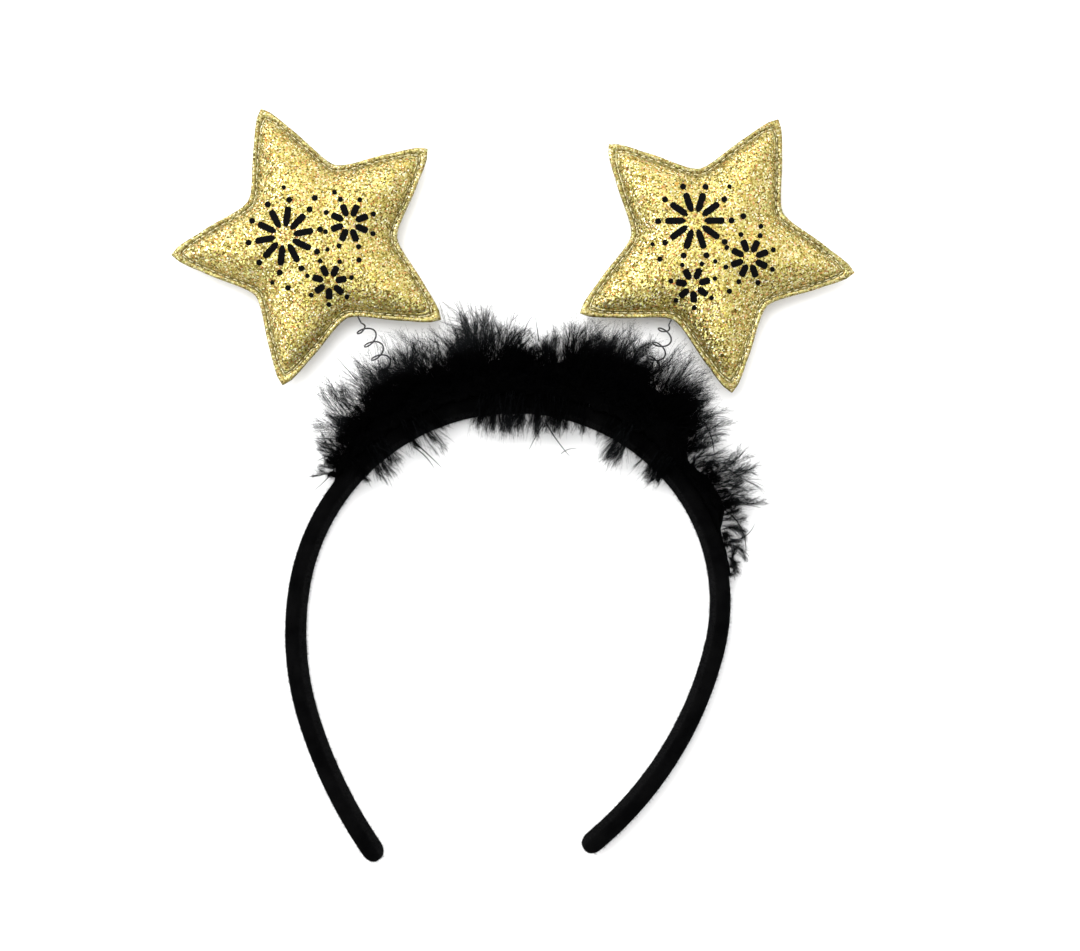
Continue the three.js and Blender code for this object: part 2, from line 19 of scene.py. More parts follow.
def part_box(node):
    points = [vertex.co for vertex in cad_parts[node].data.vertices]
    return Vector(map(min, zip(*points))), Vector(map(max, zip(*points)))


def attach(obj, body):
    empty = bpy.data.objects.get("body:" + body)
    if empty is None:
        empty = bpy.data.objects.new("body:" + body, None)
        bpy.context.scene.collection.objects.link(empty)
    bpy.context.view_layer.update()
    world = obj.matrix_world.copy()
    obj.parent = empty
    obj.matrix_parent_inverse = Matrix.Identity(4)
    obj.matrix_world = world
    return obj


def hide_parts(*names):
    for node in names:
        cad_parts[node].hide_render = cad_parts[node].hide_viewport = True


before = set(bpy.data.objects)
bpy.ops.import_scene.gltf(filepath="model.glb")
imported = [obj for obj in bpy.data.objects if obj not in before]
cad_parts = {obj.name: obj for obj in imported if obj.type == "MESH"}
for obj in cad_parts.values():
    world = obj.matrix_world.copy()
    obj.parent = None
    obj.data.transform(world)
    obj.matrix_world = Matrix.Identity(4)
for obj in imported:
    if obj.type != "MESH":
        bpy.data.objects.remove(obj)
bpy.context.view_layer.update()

log = logging.getLogger("star_headband")

MM = 0.001
NEAR = 1e-7
BODY = "root"
UP = np.array([0.0, 0.0, 1.0])

Colour = tuple[float, float, float]
Stops = tuple[tuple[float, Colour], ...]
Rows = tuple[np.ndarray, ...]
Pair = tuple[float, float]
Piece = bpy.types.Object
Material = bpy.types.Material
Socket = bpy.types.NodeSocket


class Slot(Enum):
    """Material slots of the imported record."""

    VELVET = "velvet"
    FEATHERS = "feathers"
    WIRE = "spring_wire"
    GLITTER = "glitter_cloth"


class Side(Enum):
    """Which of the two stars."""

    LEFT = "left"
    RIGHT = "right"


def deselect_all() -> None:
    """Leave edit mode and select nothing."""
    if bpy.context.object is not None and bpy.context.object.mode != "OBJECT":
        bpy.ops.object.mode_set(mode="OBJECT")
    bpy.ops.object.select_all(action="DESELECT")


def make_active(piece: Piece) -> None:
    """Select one piece and nothing else.

    Args:
        piece: The object that the next operators work on.
    """
    deselect_all()
    piece.select_set(True)
    bpy.context.view_layer.objects.active = piece


def edit(piece: Piece, everything: bool = False) -> None:
    """Open a piece in edit mode, in vertex mode.

    Args:
        piece: The object to open.
        everything: Whether all of it is picked.
    """
    make_active(piece)
    bpy.ops.object.mode_set(mode="EDIT")
    bpy.ops.mesh.select_mode(type="VERT")
    if everything:
        bpy.ops.mesh.select_all(action="SELECT")


def pick(piece: Piece, test: Callable[[Vector], bool]) -> None:
    """Pick the vertices of a piece that pass a test, in edit mode.

    Args:
        piece: The object that is open in edit mode.
        test: Says of a vertex's place whether it is picked.
    """
    mesh = bmesh.from_edit_mesh(piece.data)
    for vertex in mesh.verts:
        vertex.select_set(test(vertex.co))
    mesh.select_flush(True)
    mesh.select_flush(False)
    bmesh.update_edit_mesh(piece.data)


def new_primitive(name: str) -> Piece:
    """Name the primitive that was just added and bake its turn and place into its mesh.

    Args:
        name: The piece's name.

    Returns:
        The new object, at the origin.
    """
    bpy.ops.object.transform_apply(location=True, rotation=True, scale=True)
    piece = bpy.context.object
    piece.name = piece.data.name = name
    return piece


def apply_all(piece: Piece) -> None:
    """Apply every modifier in order.

    Args:
        piece: The object that has them.
    """
    make_active(piece)
    for modifier in list(piece.modifiers):
        bpy.ops.object.modifier_apply(modifier=modifier.name)


def close_up(piece: Piece) -> None:
    """Merge doubles and turn every face outwards.

    Args:
        piece: The object to clean.
    """
    edit(piece, everything=True)
    bpy.ops.mesh.remove_doubles(threshold=NEAR)
    bpy.ops.mesh.normals_make_consistent(inside=False)
    deselect_all()


def smooth(piece: Piece, degrees: float) -> None:
    """Shade a piece smooth, apart from edges sharper than an angle."""
    make_active(piece)
    bpy.ops.object.shade_smooth_by_angle(angle=math.radians(degrees))


def points_of(piece: Piece) -> np.ndarray:
    """Read the places of all vertices.

    Args:
        piece: The object that has them.

    Returns:
        One row of x, y and z for each.
    """
    places = np.zeros(len(piece.data.vertices) * 3)
    piece.data.vertices.foreach_get("co", places)
    return places.reshape(-1, 3)


def move_points(piece: Piece, places: np.ndarray) -> None:
    """Put the vertices of a piece at new places."""
    piece.data.vertices.foreach_set("co", places.astype(np.float32).ravel())
    piece.data.update()


def take_mesh(piece: Piece) -> tuple[np.ndarray, np.ndarray]:
    """Take the places and faces of a piece that was modelled to be repeated.

    Args:
        piece: The piece, which is removed; its faces all have one size.

    Returns:
        Places and faces, one row each.
    """
    places = points_of(piece)
    faces = np.array([list(face.vertices) for face in piece.data.polygons])
    bpy.data.objects.remove(piece)
    return places, faces


def piece_from_arrays(name: str, places: np.ndarray, faces: list[np.ndarray]) -> Piece:
    """Make one mesh from arrays.

    Args:
        name: The piece's name.
        places: Vertex places in metres, one row each.
        faces: Arrays of vertex numbers, one row for each face; each array has faces of one size.

    Returns:
        The new object, linked to the scene.
    """
    mesh = bpy.data.meshes.new(name)
    mesh.vertices.add(len(places))
    mesh.vertices.foreach_set("co", places.astype(np.float32).ravel())
    loops = np.concatenate([rows.ravel() for rows in faces])
    sizes = np.concatenate([np.full(len(rows), rows.shape[1]) for rows in faces])
    mesh.loops.add(len(loops))
    mesh.loops.foreach_set("vertex_index", loops.astype(np.int32))
    mesh.polygons.add(len(sizes))
    starts = np.concatenate([[0], np.cumsum(sizes)[:-1]])
    mesh.polygons.foreach_set("loop_start", starts.astype(np.int32))
    mesh.update(calc_edges=True)
    mesh.validate()
    piece = bpy.data.objects.new(name, mesh)
    bpy.context.scene.collection.objects.link(piece)
    return piece


def ring_faces(rings: int, count: int) -> np.ndarray:
    """Faces of four between rings of points, and from the last ring back to the first.

    Args:
        rings: Number of rings.
        count: Points in each ring.

    Returns:
        Vertex numbers: ring, face, corner.
    """
    number = np.arange(rings * count).reshape(rings, count)
    after = np.roll(number, -1, axis=1)
    both = (number, after, np.roll(after, -1, axis=0), np.roll(number, -1, axis=0))
    return np.stack(both, axis=-1)


def unit(rows: np.ndarray) -> np.ndarray:
    """Rows scaled to length one."""
    return rows / np.maximum(np.linalg.norm(rows, axis=-1, keepdims=True), 1e-12)


def turned(flat: np.ndarray, angle: float) -> np.ndarray:
    """Rows of x and y turned by an angle in radians."""
    cos, sin = math.cos(angle), math.sin(angle)
    return flat @ np.array([[cos, sin], [-sin, cos]])


class NodeDesk:
    """Short calls to lay out the nodes of a material or a sky."""

    def __init__(self, owner: Material | bpy.types.World, main: str) -> None:
        """Open the nodes.

        Args:
            owner: The material or the sky.
            main: Name of the node in which its look ends.
        """
        owner.use_nodes = True
        self.owner = owner
        self.tree = owner.node_tree
        self.main = self.tree.nodes[main]

    @classmethod
    def material(cls, name: str) -> "NodeDesk":
        """Start a material with one shader."""
        return cls(bpy.data.materials.new(name), "Principled BSDF")

    def feed(self, node: bpy.types.Node, inputs: dict[str | int, object]) -> None:
        """Give inputs of a node plain values or other nodes' sockets.

        Args:
            node: The node.
            inputs: A value or socket for each named or numbered input.
        """
        for key, value in inputs.items():
            if isinstance(value, Socket):
                self.tree.links.new(value, node.inputs[key])
            else:
                node.inputs[key].default_value = value

    def node(
        self, kind: str, inputs: dict[str | int, object] | None = None, **settings: object
    ) -> bpy.types.Node:
        """Add a node.

        Args:
            kind: The node's type without the ShaderNode part.
            inputs: A value or socket for each input that is given.
            settings: Properties of the node.

        Returns:
            The new node.
        """
        made = self.tree.nodes.new("ShaderNode" + kind)
        for key, value in settings.items():
            setattr(made, key, value)
        self.feed(made, inputs or {})
        return made

    def vector(self, operation: str, inputs: dict[str | int, object]) -> Socket:
        """One step of sums with vectors."""
        return self.node("VectorMath", inputs, operation=operation).outputs[0]

    def place(self) -> Socket:
        """Place on the object, in metres."""
        return self.node("TexCoord").outputs["Object"]

    def noise(self, size: float, detail: float) -> Socket:
        """Soft noise with blotches of a size in millimetres and a number of finer layers."""
        inputs = {"Scale": 1 / (size * MM), "Detail": detail, "Vector": self.place()}
        return self.node("TexNoise", inputs).outputs["Fac"]

    def ramp(self, value: Socket, stops: Stops) -> Socket:
        """Colour by a value.

        Args:
            value: The value that picks the colour.
            stops: Places from 0 to 1, each with its colour.

        Returns:
            The colour.
        """
        made = self.node("ValToRGB", {"Fac": value})
        band = made.color_ramp
        while len(band.elements) < len(stops):
            band.elements.new(0.5)
        for element, (at, colour) in zip(band.elements, stops):
            element.position = at
            element.color = (*colour, 1)
        return made.outputs["Color"]


@dataclass(frozen=True)
class GrainFinish:
    """Two tones mixed by soft noise, with a raised grain.

    size, grain and depth, the full height of the grain, are in millimetres. Without a grain of its
    own, the noise of the tones is what is raised. look holds plain values of the shader.
    """

    name: str
    dark: Colour
    light: Colour
    ends: Pair
    size: float
    detail: float
    look: dict[str, object]
    depth: float = 0
    grain: float | None = None

    def build(self) -> Material:
        """Lay out the finish.

        Returns:
            Its material.
        """
        desk = NodeDesk.material(self.name)
        height = tone = desk.noise(self.size, self.detail)
        colour = desk.ramp(tone, tuple(zip(self.ends, (self.dark, self.light))))
        desk.feed(desk.main, {"Base Color": colour, **self.look})
        if self.grain:
            height = desk.noise(self.grain, self.detail)
        if self.depth:
            bump = desk.node("Bump", {"Distance": self.depth * MM, "Height": height})
            desk.feed(desk.main, {"Normal": bump.outputs["Normal"]})
        return desk.owner


VELVET = GrainFinish(
    "black_velvet",
    dark=(0.0006, 0.0006, 0.0007),
    light=(0.0022, 0.0022, 0.0023),
    ends=(0.35, 0.75),
    size=7,
    detail=3,
    depth=0.12,
    grain=0.35,
    look={
        "Roughness": 0.95,
        "Sheen Weight": 0.012,
        "Sheen Roughness": 0.35,
        "Sheen Tint": (0.5, 0.5, 0.55, 1),
        "Specular IOR Level": 0.02,
    },
)
WIRE = GrainFinish(
    "dark_wire",
    dark=(0.028, 0.028, 0.03),
    light=(0.085, 0.085, 0.088),
    ends=(0.3, 0.8),
    size=0.8,
    detail=4,
    depth=0.02,
    look={"Metallic": 0.85, "Roughness": 0.38},
)
INK = GrainFinish(
    "black_print",
    dark=(0.001, 0.001, 0.0012),
    light=(0.0035, 0.0035, 0.004),
    ends=(0.3, 0.7),
    size=0.5,
    detail=3,
    depth=0.06,
    look={"Roughness": 0.7, "Specular IOR Level": 0.02},
)
THREAD = GrainFinish(
    "yellow_thread",
    dark=(0.42, 0.36, 0.16),
    light=(0.85, 0.78, 0.48),
    ends=(0.35, 0.65),
    size=0.3,
    detail=2,
    depth=0.05,
    look={"Roughness": 0.6, "Sheen Weight": 0.2},
)
FLOOR = GrainFinish(
    "white_floor",
    dark=(0.91, 0.91, 0.91),
    light=(0.93, 0.93, 0.93),
    ends=(0.4, 0.6),
    size=90,
    detail=2,
    look={"Roughness": 0.9, "Specular IOR Level": 0.1},
)


@dataclass(frozen=True)
class DownFinish:
    """Black down, with painted glow: thin outer strands are coloured greyer and slightly cool."""

    name: str = "black_down"
    # painted glow: the lighter stop stands for light passing through thin strands
    tones: Stops = ((0.05, (0.0003, 0.0003, 0.0004)), (0.6, (0.017, 0.019, 0.021)))
    streak_size: float = 1.4

    def build(self) -> Material:
        """Lay out the finish.

        Returns:
            Its material.
        """
        desk = NodeDesk.material(self.name)
        tone = desk.node("Attribute", attribute_name="tone").outputs["Fac"]
        streaks = {0: tone, 1: desk.noise(self.streak_size, 2)}
        mixed = desk.node("Math", streaks, operation="MULTIPLY").outputs[0]
        look = {"Roughness": 0.8, "Specular IOR Level": 0.015}
        desk.feed(desk.main, {"Base Color": desk.ramp(mixed, self.tones), **look})
        return desk.owner


@dataclass(frozen=True)
class GlitterFinish:
    """Metal flakes on cloth, each with its own hue, tint and lean; their brightness is partly
    painted glint and shade.
    """

    name: str = "gold_glitter"
    flake: float = 0.44
    lean: float = 0.8
    # painted glint and shade: the dark brown and near-white flakes stand for flakes turned from or
    # to the light; the gold hues are their own
    tones: Stops = (
        (0.0, (0.085, 0.06, 0.01)),
        (0.2, (0.22, 0.17, 0.03)),
        (0.42, (0.42, 0.345, 0.088)),
        (0.64, (0.58, 0.5, 0.18)),
        (0.82, (0.72, 0.65, 0.3)),
        (0.93, (1.0, 0.98, 0.74)),
        (0.955, (0.5, 0.18, 0.05)),
        (1.0, (0.65, 0.36, 0.14)),
    )
    tints: Stops = (
        (0.0, (1.0, 0.66, 0.5)),
        (0.24, (0.96, 0.93, 0.9)),
        (0.74, (0.93, 0.93, 0.92)),
        (1.0, (0.78, 0.93, 0.8)),
    )
    blotch_size: float = 5
    blotch_dark: float = 0.86
    blotch_ends: Pair = (0.38, 0.62)

    def build(self) -> Material:
        """Lay out the finish.

        Returns:
            Its material.
        """
        desk = NodeDesk.material(self.name)
        cells = {"Scale": 1 / (self.flake * MM), "Vector": desk.place()}
        flakes = desk.node("TexVoronoi", cells, feature="F1").outputs["Color"]
        parts = desk.node("SeparateColor", {0: flakes}).outputs
        colour = desk.ramp(parts[0], self.tones)
        shades = tuple(zip(self.blotch_ends, ((self.blotch_dark,) * 3, (1.0, 1.0, 1.0))))
        blotches = desk.ramp(desk.noise(self.blotch_size, 4), shades)
        for layer in (desk.ramp(parts[1], self.tints), blotches):
            both = {"Factor": 1, 6: colour, 7: layer}
            mix = desk.node("Mix", both, data_type="RGBA", blend_type="MULTIPLY")
            colour = mix.outputs[2]
        centred = desk.vector("SUBTRACT", {0: flakes, 1: (0.5, 0.5, 0.5)})
        leaned = desk.vector("SCALE", {0: centred, "Scale": self.lean})
        normal = desk.node("NewGeometry").outputs["Normal"]
        normal = desk.vector("NORMALIZE", {0: desk.vector("ADD", {0: normal, 1: leaned})})
        look = {"Metallic": 0.68, "Roughness": 0.3, "Specular IOR Level": 0.15}
        desk.feed(desk.main, {"Base Color": colour, "Normal": normal, **look})
        return desk.owner


GLITTER_EDGE = GlitterFinish(
    name="gold_edge",
    flake=0.4,
    lean=0.45,
    blotch_dark=0.8,
    # these tones also run from dark to pale, partly painted glint and shade
    tones=(
        (0.0, (0.08, 0.06, 0.012)),
        (0.25, (0.21, 0.17, 0.045)),
        (0.6, (0.34, 0.295, 0.11)),
        (0.88, (0.5, 0.455, 0.23)),
        (1.0, (0.78, 0.74, 0.52)),
    ),
)


def dress(piece: Piece, finish: Material) -> Piece:
    """Give a piece its finish and its body.

    Args:
        piece: The finished piece, at the origin.
        finish: Its material.

    Returns:
        The piece.
    """
    piece.data.materials.clear()
    piece.data.materials.append(finish)
    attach(piece, BODY)
    triangles = sum(len(face.vertices) - 2 for face in piece.data.polygons)
    log.info("%s: %d triangles", piece.name, triangles)
    return piece


@dataclass(frozen=True)
class HoopLine:
    """Middle line of the band from the crown down both sides, in millimetres.

    Each arc has a radius as a share of the head radius, and a sweep in degrees.
    """

    head_radius: float = 66
    left: tuple[tuple[float, float], ...] = ((1.04, 80.5), (1.37, 26.8), (2.32, 18.6))
    right: tuple[tuple[float, float], ...] = ((1.0, 46.9), (0.92, 56.8), (1.74, 38.4))

    def at(self, distance: np.ndarray) -> Rows:
        """Place and ways at distances from the crown.

        Args:
            distance: Distances along the line, the right side positive.

        Returns:
            Points, ways along and ways out, one row each.
        """
        distance = np.atleast_1d(np.asarray(distance, float))
        side = np.where(distance < 0, -1.0, 1.0)
        heading, x, y, flat = np.zeros((4, len(distance)))
        rest = np.abs(distance)
        for left, right in zip(self.left, self.right):
            radius = np.where(side < 0, left[0], right[0]) * self.head_radius
            sweep = np.radians(np.where(side < 0, left[1], right[1]))
            turn = np.minimum(rest / radius, sweep)
            x += side * radius * (np.sin(heading + turn) - np.sin(heading))
            y -= radius * (np.cos(heading) - np.cos(heading + turn))
            heading += turn
            rest -= turn * radius
        x += side * rest * np.cos(heading)
        y -= rest * np.sin(heading)
        along = np.stack([np.cos(heading), -side * np.sin(heading), flat], axis=1)
        out = np.stack([side * np.sin(heading), np.cos(heading), flat], axis=1)
        return np.stack([x, y, flat], axis=1), along, out


@dataclass(frozen=True)
class BandSizes:
    """Section of the band in millimetres, with its lean in degrees."""

    width: float = 10
    thickness: float = 4.8
    corner: float = 2
    tilt: float = 14
    press: float = 0.35
    tip: float = 4
    tip_blunt: float = 0.25
    tip_places: tuple[float, ...] = (0.92, 0.64, 0.28, 0.06, 0)

    def half_along(self, upright: float, across: float) -> float:
        """Half the section's extent along a way with these shares of its width and thickness."""
        wide = (self.width / 2 - self.corner) * upright
        return wide + (self.thickness / 2 - self.corner) * across + self.corner

    @property
    def half_out(self) -> float:
        """Half the width of the leaning section."""
        lean = math.radians(self.tilt)
        return self.half_along(math.sin(lean), math.cos(lean))

    @property
    def half_height(self) -> float:
        """Half the height of the leaning section."""
        lean = math.radians(self.tilt)
        return self.half_along(math.cos(lean), math.sin(lean))

    @property
    def middle(self) -> float:
        """Height of the middle line over the floor."""
        return self.half_height - self.press

    @property
    def top(self) -> float:
        """Height of the band's upper edge."""
        return self.middle + self.half_height


@dataclass(frozen=True)
class StarSizes:
    """Sizes of a star in millimetres, and its outline: degrees from a tip, share of the reach."""

    reach: float = 45.8
    arms: int = 5
    thickness: float = 16
    press: float = 0.8
    flange: float = 2.8
    notch: float = 0.552
    outline: tuple[tuple[int, float], ...] = (
        (0, 1.0), (3, 0.952), (6, 0.884), (9, 0.818), (12, 0.768), (15, 0.721), (18, 0.679),
        (21, 0.643), (24, 0.613), (27, 0.589), (30, 0.57), (33, 0.558), (36, 0.552),
    )  # fmt: skip

    @property
    def half_arm(self) -> float:
        """Half the turn of one arm, in radians."""
        return math.pi / self.arms

    @property
    def height(self) -> float:
        """Height of the seam over the floor."""
        return self.thickness / 2 - self.press

    @property
    def seam(self) -> float:
        """Share of the outline at which the seam runs."""
        return self.share_at(self.flange)

    def share_at(self, across: float) -> float:
        """Share of the outline that runs a distance inside it.

        Args:
            across: The distance in millimetres.

        Returns:
            The share, below 1.
        """
        inner = self.reach * self.notch
        run = inner * math.sin(self.half_arm)
        drop = self.reach - inner * math.cos(self.half_arm)
        return 1 - across / (self.reach * run / math.hypot(run, drop))

    def reach_at(self, angle: np.ndarray) -> np.ndarray:
        """Reach of the outline.

        Args:
            angle: Angles from a tip, in radians.

        Returns:
            Distances from the middle, in millimetres.
        """
        off = np.abs((np.asarray(angle) + self.half_arm) % (2 * self.half_arm) - self.half_arm)
        rows = np.array(self.outline)
        return np.interp(np.degrees(off), rows[:, 0], rows[:, 1]) * self.reach

    def ring(self, share: float, count: int) -> np.ndarray:
        """Points on the outline, anticlockwise from a tip.

        Args:
            share: Share of the full outline.
            count: Number of points.

        Returns:
            Rows of x and y, in millimetres.
        """
        angle = np.arange(count) * 2 * math.pi / count
        reach = self.reach_at(angle) * share
        return np.stack([reach * np.cos(angle), reach * np.sin(angle)], axis=1)


@dataclass(frozen=True)
class SpringSizes:
    """Wire and coil in millimetres."""

    wire: float = 0.5
    coil: float = 5.2
    pitch: float = 4.9
    length: float = 33
    in_band: float = 3.3
    in_star: float = 9
    end_turns: float = 1 / 3
    ring_lean: float = 1.35
    fit: float = 0.3


@dataclass(frozen=True)
class Sizes:
    """Sizes of all parts."""

    hoop: HoopLine = HoopLine()
    band: BandSizes = BandSizes()
    star: StarSizes = StarSizes()
    spring: SpringSizes = SpringSizes()


@dataclass(frozen=True)
class Stand:
    """Where one star stands on the hoop.

    foot is a share of the head radius along the hoop line, and aside is a share of the star's reach
    along its seam. lean, turn and print_turn, the turn of its print, are in degrees.
    """

    side: Side
    foot: float
    lean: float
    aside: float
    turn: float
    print_turn: float

    def first_tip(self, star: StarSizes) -> float:
        """Turn of the star's first tip, in radians."""
        return math.radians(self.turn) - star.half_arm

    def solve(self, sizes: Sizes) -> dict[str, np.ndarray]:
        """Find the coil's ends, its axis and the star's middle.

        Args:
            sizes: Sizes of all parts.

        Returns:
            Points low, high and centre, the axis, and stop, the gap between coil and notch.
        """
        star, spring = sizes.star, sizes.spring
        points, _, out = sizes.hoop.at(np.array([self.foot * sizes.hoop.head_radius]))
        lean = math.radians(self.lean)
        towards = np.array([-math.sin(lean), math.cos(lean), 0.0])
        face = (sizes.band.half_out + spring.fit + spring.wire) / float(towards @ out[0])
        low = points[0] + UP * sizes.band.middle + towards * face
        high = low + towards * spring.length
        high[2] = star.height
        notch = math.radians(self.turn)
        inward = np.array([-math.cos(notch), -math.sin(notch), 0.0])
        sideways = np.array([-inward[1], inward[0], 0.0])
        inner = star.reach * star.notch
        arm = star.half_arm
        slope = (star.reach * math.cos(arm) - inner) / (star.reach * math.sin(arm))
        space = (spring.coil + spring.wire) / 2 + spring.fit
        stop = slope * (abs(self.aside) * star.reach + space) + spring.fit
        centre = high + towards * stop + inward * inner + sideways * self.aside * star.reach
        axis = (high - low) / np.linalg.norm(high - low)
        return {"low": low, "high": high, "axis": axis, "stop": np.array(stop), "centre": centre}


STANDS = (
    Stand(Side.LEFT, foot=-0.483, lean=28.3, aside=0.066, turn=292.5, print_turn=24),
    Stand(Side.RIGHT, foot=0.545, lean=-22.5, aside=-0.015, turn=242.4, print_turn=-22),
)


def frame_shift(sizes: Sizes) -> np.ndarray:
    """Way from the hoop's own origin, its crown, to the frame's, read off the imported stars.

    Args:
        sizes: Sizes of all parts.

    Returns:
        The shift in millimetres.
    """
    star = sizes.star
    shifts = []
    for stand in STANDS:
        angle = np.arange(star.arms) * 2 * star.half_arm + stand.first_tip(star)
        tips = star.reach * np.stack([np.cos(angle), np.sin(angle)], axis=1)
        tips += stand.solve(sizes)["centre"][:2]
        lowest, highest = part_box(f"star_{stand.side.value}_front")
        packed = np.array(lowest + highest)[:2] / 2 / MM
        shifts.append(packed - (tips.min(0) + tips.max(0)) / 2)
    return np.append(np.mean(shifts, axis=0), 0.0)


@dataclass(frozen=True)
class Band:
    """The velvet covered hoop, spun arc by arc from its section at the crown."""

    sizes: Sizes
    shift: np.ndarray
    station: float = 2.4
    corner_steps: int = 6
    seed: int = 5
    hairs: int = 26000
    hair_length: float = 1.0
    hair_lengths: Pair = (0.5, 1.15)
    hair_width: float = 0.1
    hair_stray: float = 0.45
    tip_lift: float = 0.05

    def section(self) -> Piece:
        """Make the rounded leaning section at the crown.

        Returns:
            The section, one flat face.
        """
        sizes = self.sizes.band
        deselect_all()
        bpy.ops.mesh.primitive_plane_add(size=MM, rotation=(0, math.pi / 2, 0))
        piece = new_primitive("band_velvet")
        edit(piece, everything=True)
        bpy.ops.transform.resize(value=(1, sizes.thickness, sizes.width))
        bpy.ops.mesh.bevel(
            offset=sizes.corner * MM, segments=self.corner_steps, affect="VERTICES"
        )
        bpy.ops.mesh.select_all(action="SELECT")
        bpy.ops.transform.translate(value=(0, 0, sizes.middle * MM))
        bpy.ops.object.mode_set(mode="OBJECT")
        middle = Vector((0, 0, sizes.middle * MM))
        lean = Matrix.Rotation(-math.radians(sizes.tilt), 4, "X")
        piece.data.transform(Matrix.Translation(middle) @ lean @ Matrix.Translation(-middle))
        return piece

    def spin_side(self, arcs: tuple[tuple[float, float], ...], side: int) -> None:
        """Spin the picked section down one side and round its tip.

        Args:
            arcs: The arcs of that side.
            side: 1 for the right side, -1 for the left.
        """
        hoop = self.sizes.hoop
        run = 0.0
        for number, (share, degrees) in enumerate(arcs, start=1):
            radius = share * hoop.head_radius
            sweep = math.radians(degrees)
            if number == len(arcs):
                sweep -= self.sizes.band.tip / radius
            points, _, out = hoop.at(np.array([side * run]))
            x, y, _ = (points[0] - out[0] * radius) * MM
            steps = max(2, round(radius * sweep / self.station))
            bpy.ops.mesh.spin(steps=steps, angle=sweep * side, center=(x, y, 0), axis=(0, 0, 1))
            run += radius * math.radians(degrees)
        self.round_tip(side, run)

    def round_tip(self, side: int, end: float) -> None:
        """Draw the picked end section out to a rounded tip.

        Args:
            side: 1 for the right side, -1 for the left.
            end: Distance of the tip from the crown.
        """
        sizes = self.sizes.band
        place = end - sizes.tip
        size = 1.0
        for share in sizes.tip_places:
            target = end - sizes.tip * share
            (start, stop), _, _ = self.sizes.hoop.at(side * np.array([place, target]))
            step = tuple((stop - start) * MM)
            bpy.ops.mesh.extrude_region_move(TRANSFORM_OT_translate={"value": step})
            round_size = math.sqrt(1 - (1 - share) ** 2)
            target_size = sizes.tip_blunt + (1 - sizes.tip_blunt) * round_size
            middle = tuple((stop + UP * sizes.middle) * MM)
            bpy.ops.transform.resize(value=(target_size / size,) * 3, center_override=middle)
            place = target
            size = target_size

    def pile(self, band: Piece) -> Piece:
        """Scatter short hairs over the band.

        Args:
            band: The finished band.

        Returns:
            One mesh of all hairs.
        """
        random = np.random.default_rng(self.seed)
        mesh = band.data
        mesh.calc_loop_triangles()
        corners = np.zeros(len(mesh.loop_triangles) * 3, np.int32)
        mesh.loop_triangles.foreach_get("vertices", corners)
        places = points_of(band)[corners.reshape(-1, 3)]
        normals = np.cross(places[:, 1] - places[:, 0], places[:, 2] - places[:, 0])
        areas = np.linalg.norm(normals, axis=1) / 2
        chosen = random.choice(len(areas), self.hairs, p=areas / areas.sum())
        first, second = random.random((2, self.hairs, 1))
        flip = first + second > 1
        first = np.where(flip, 1 - first, first)
        second = np.where(flip, 1 - second, second)
        a, b, c = (places[chosen, k] for k in range(3))
        roots = a + (b - a) * first + (c - a) * second
        stray = random.normal(0, self.hair_stray, (self.hairs, 3))
        ways = unit(unit(normals[chosen]) + stray)
        across = unit(np.cross(ways, random.normal(0, 1, (self.hairs, 3))))
        lengths = self.hair_length * MM * random.uniform(*self.hair_lengths, (self.hairs, 1))
        tips = roots + ways * lengths
        tips[:, 2] = np.maximum(tips[:, 2], self.tip_lift * MM)
        half = across * self.hair_width * MM / 2
        stacked = np.stack([roots - half, roots + half, tips], axis=1).reshape(-1, 3)
        stacked[:, 2] = np.maximum(stacked[:, 2], 0)
        return piece_from_arrays("band_pile", stacked, [np.arange(len(stacked)).reshape(-1, 3)])

    def build(self, finish: Material) -> None:
        """Make and dress the band.

        Args:
            finish: The velvet.
        """
        piece = self.section()
        edit(piece, everything=True)
        self.spin_side(self.sizes.hoop.right, 1)
        pick(piece, lambda place: abs(place.x) < NEAR and place.y > -self.sizes.band.width * MM)
        self.spin_side(self.sizes.hoop.left, -1)
        pick(piece, lambda place: place.z < 0)
        bpy.ops.transform.resize(value=(1, 1, 0), center_override=(0, 0, 0))
        close_up(piece)
        piece.data.transform(Matrix.Translation(Vector(self.shift * MM)))
        smooth(piece, 60)
        dress(piece, finish)
        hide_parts("band")
        dress(self.pile(piece), finish)


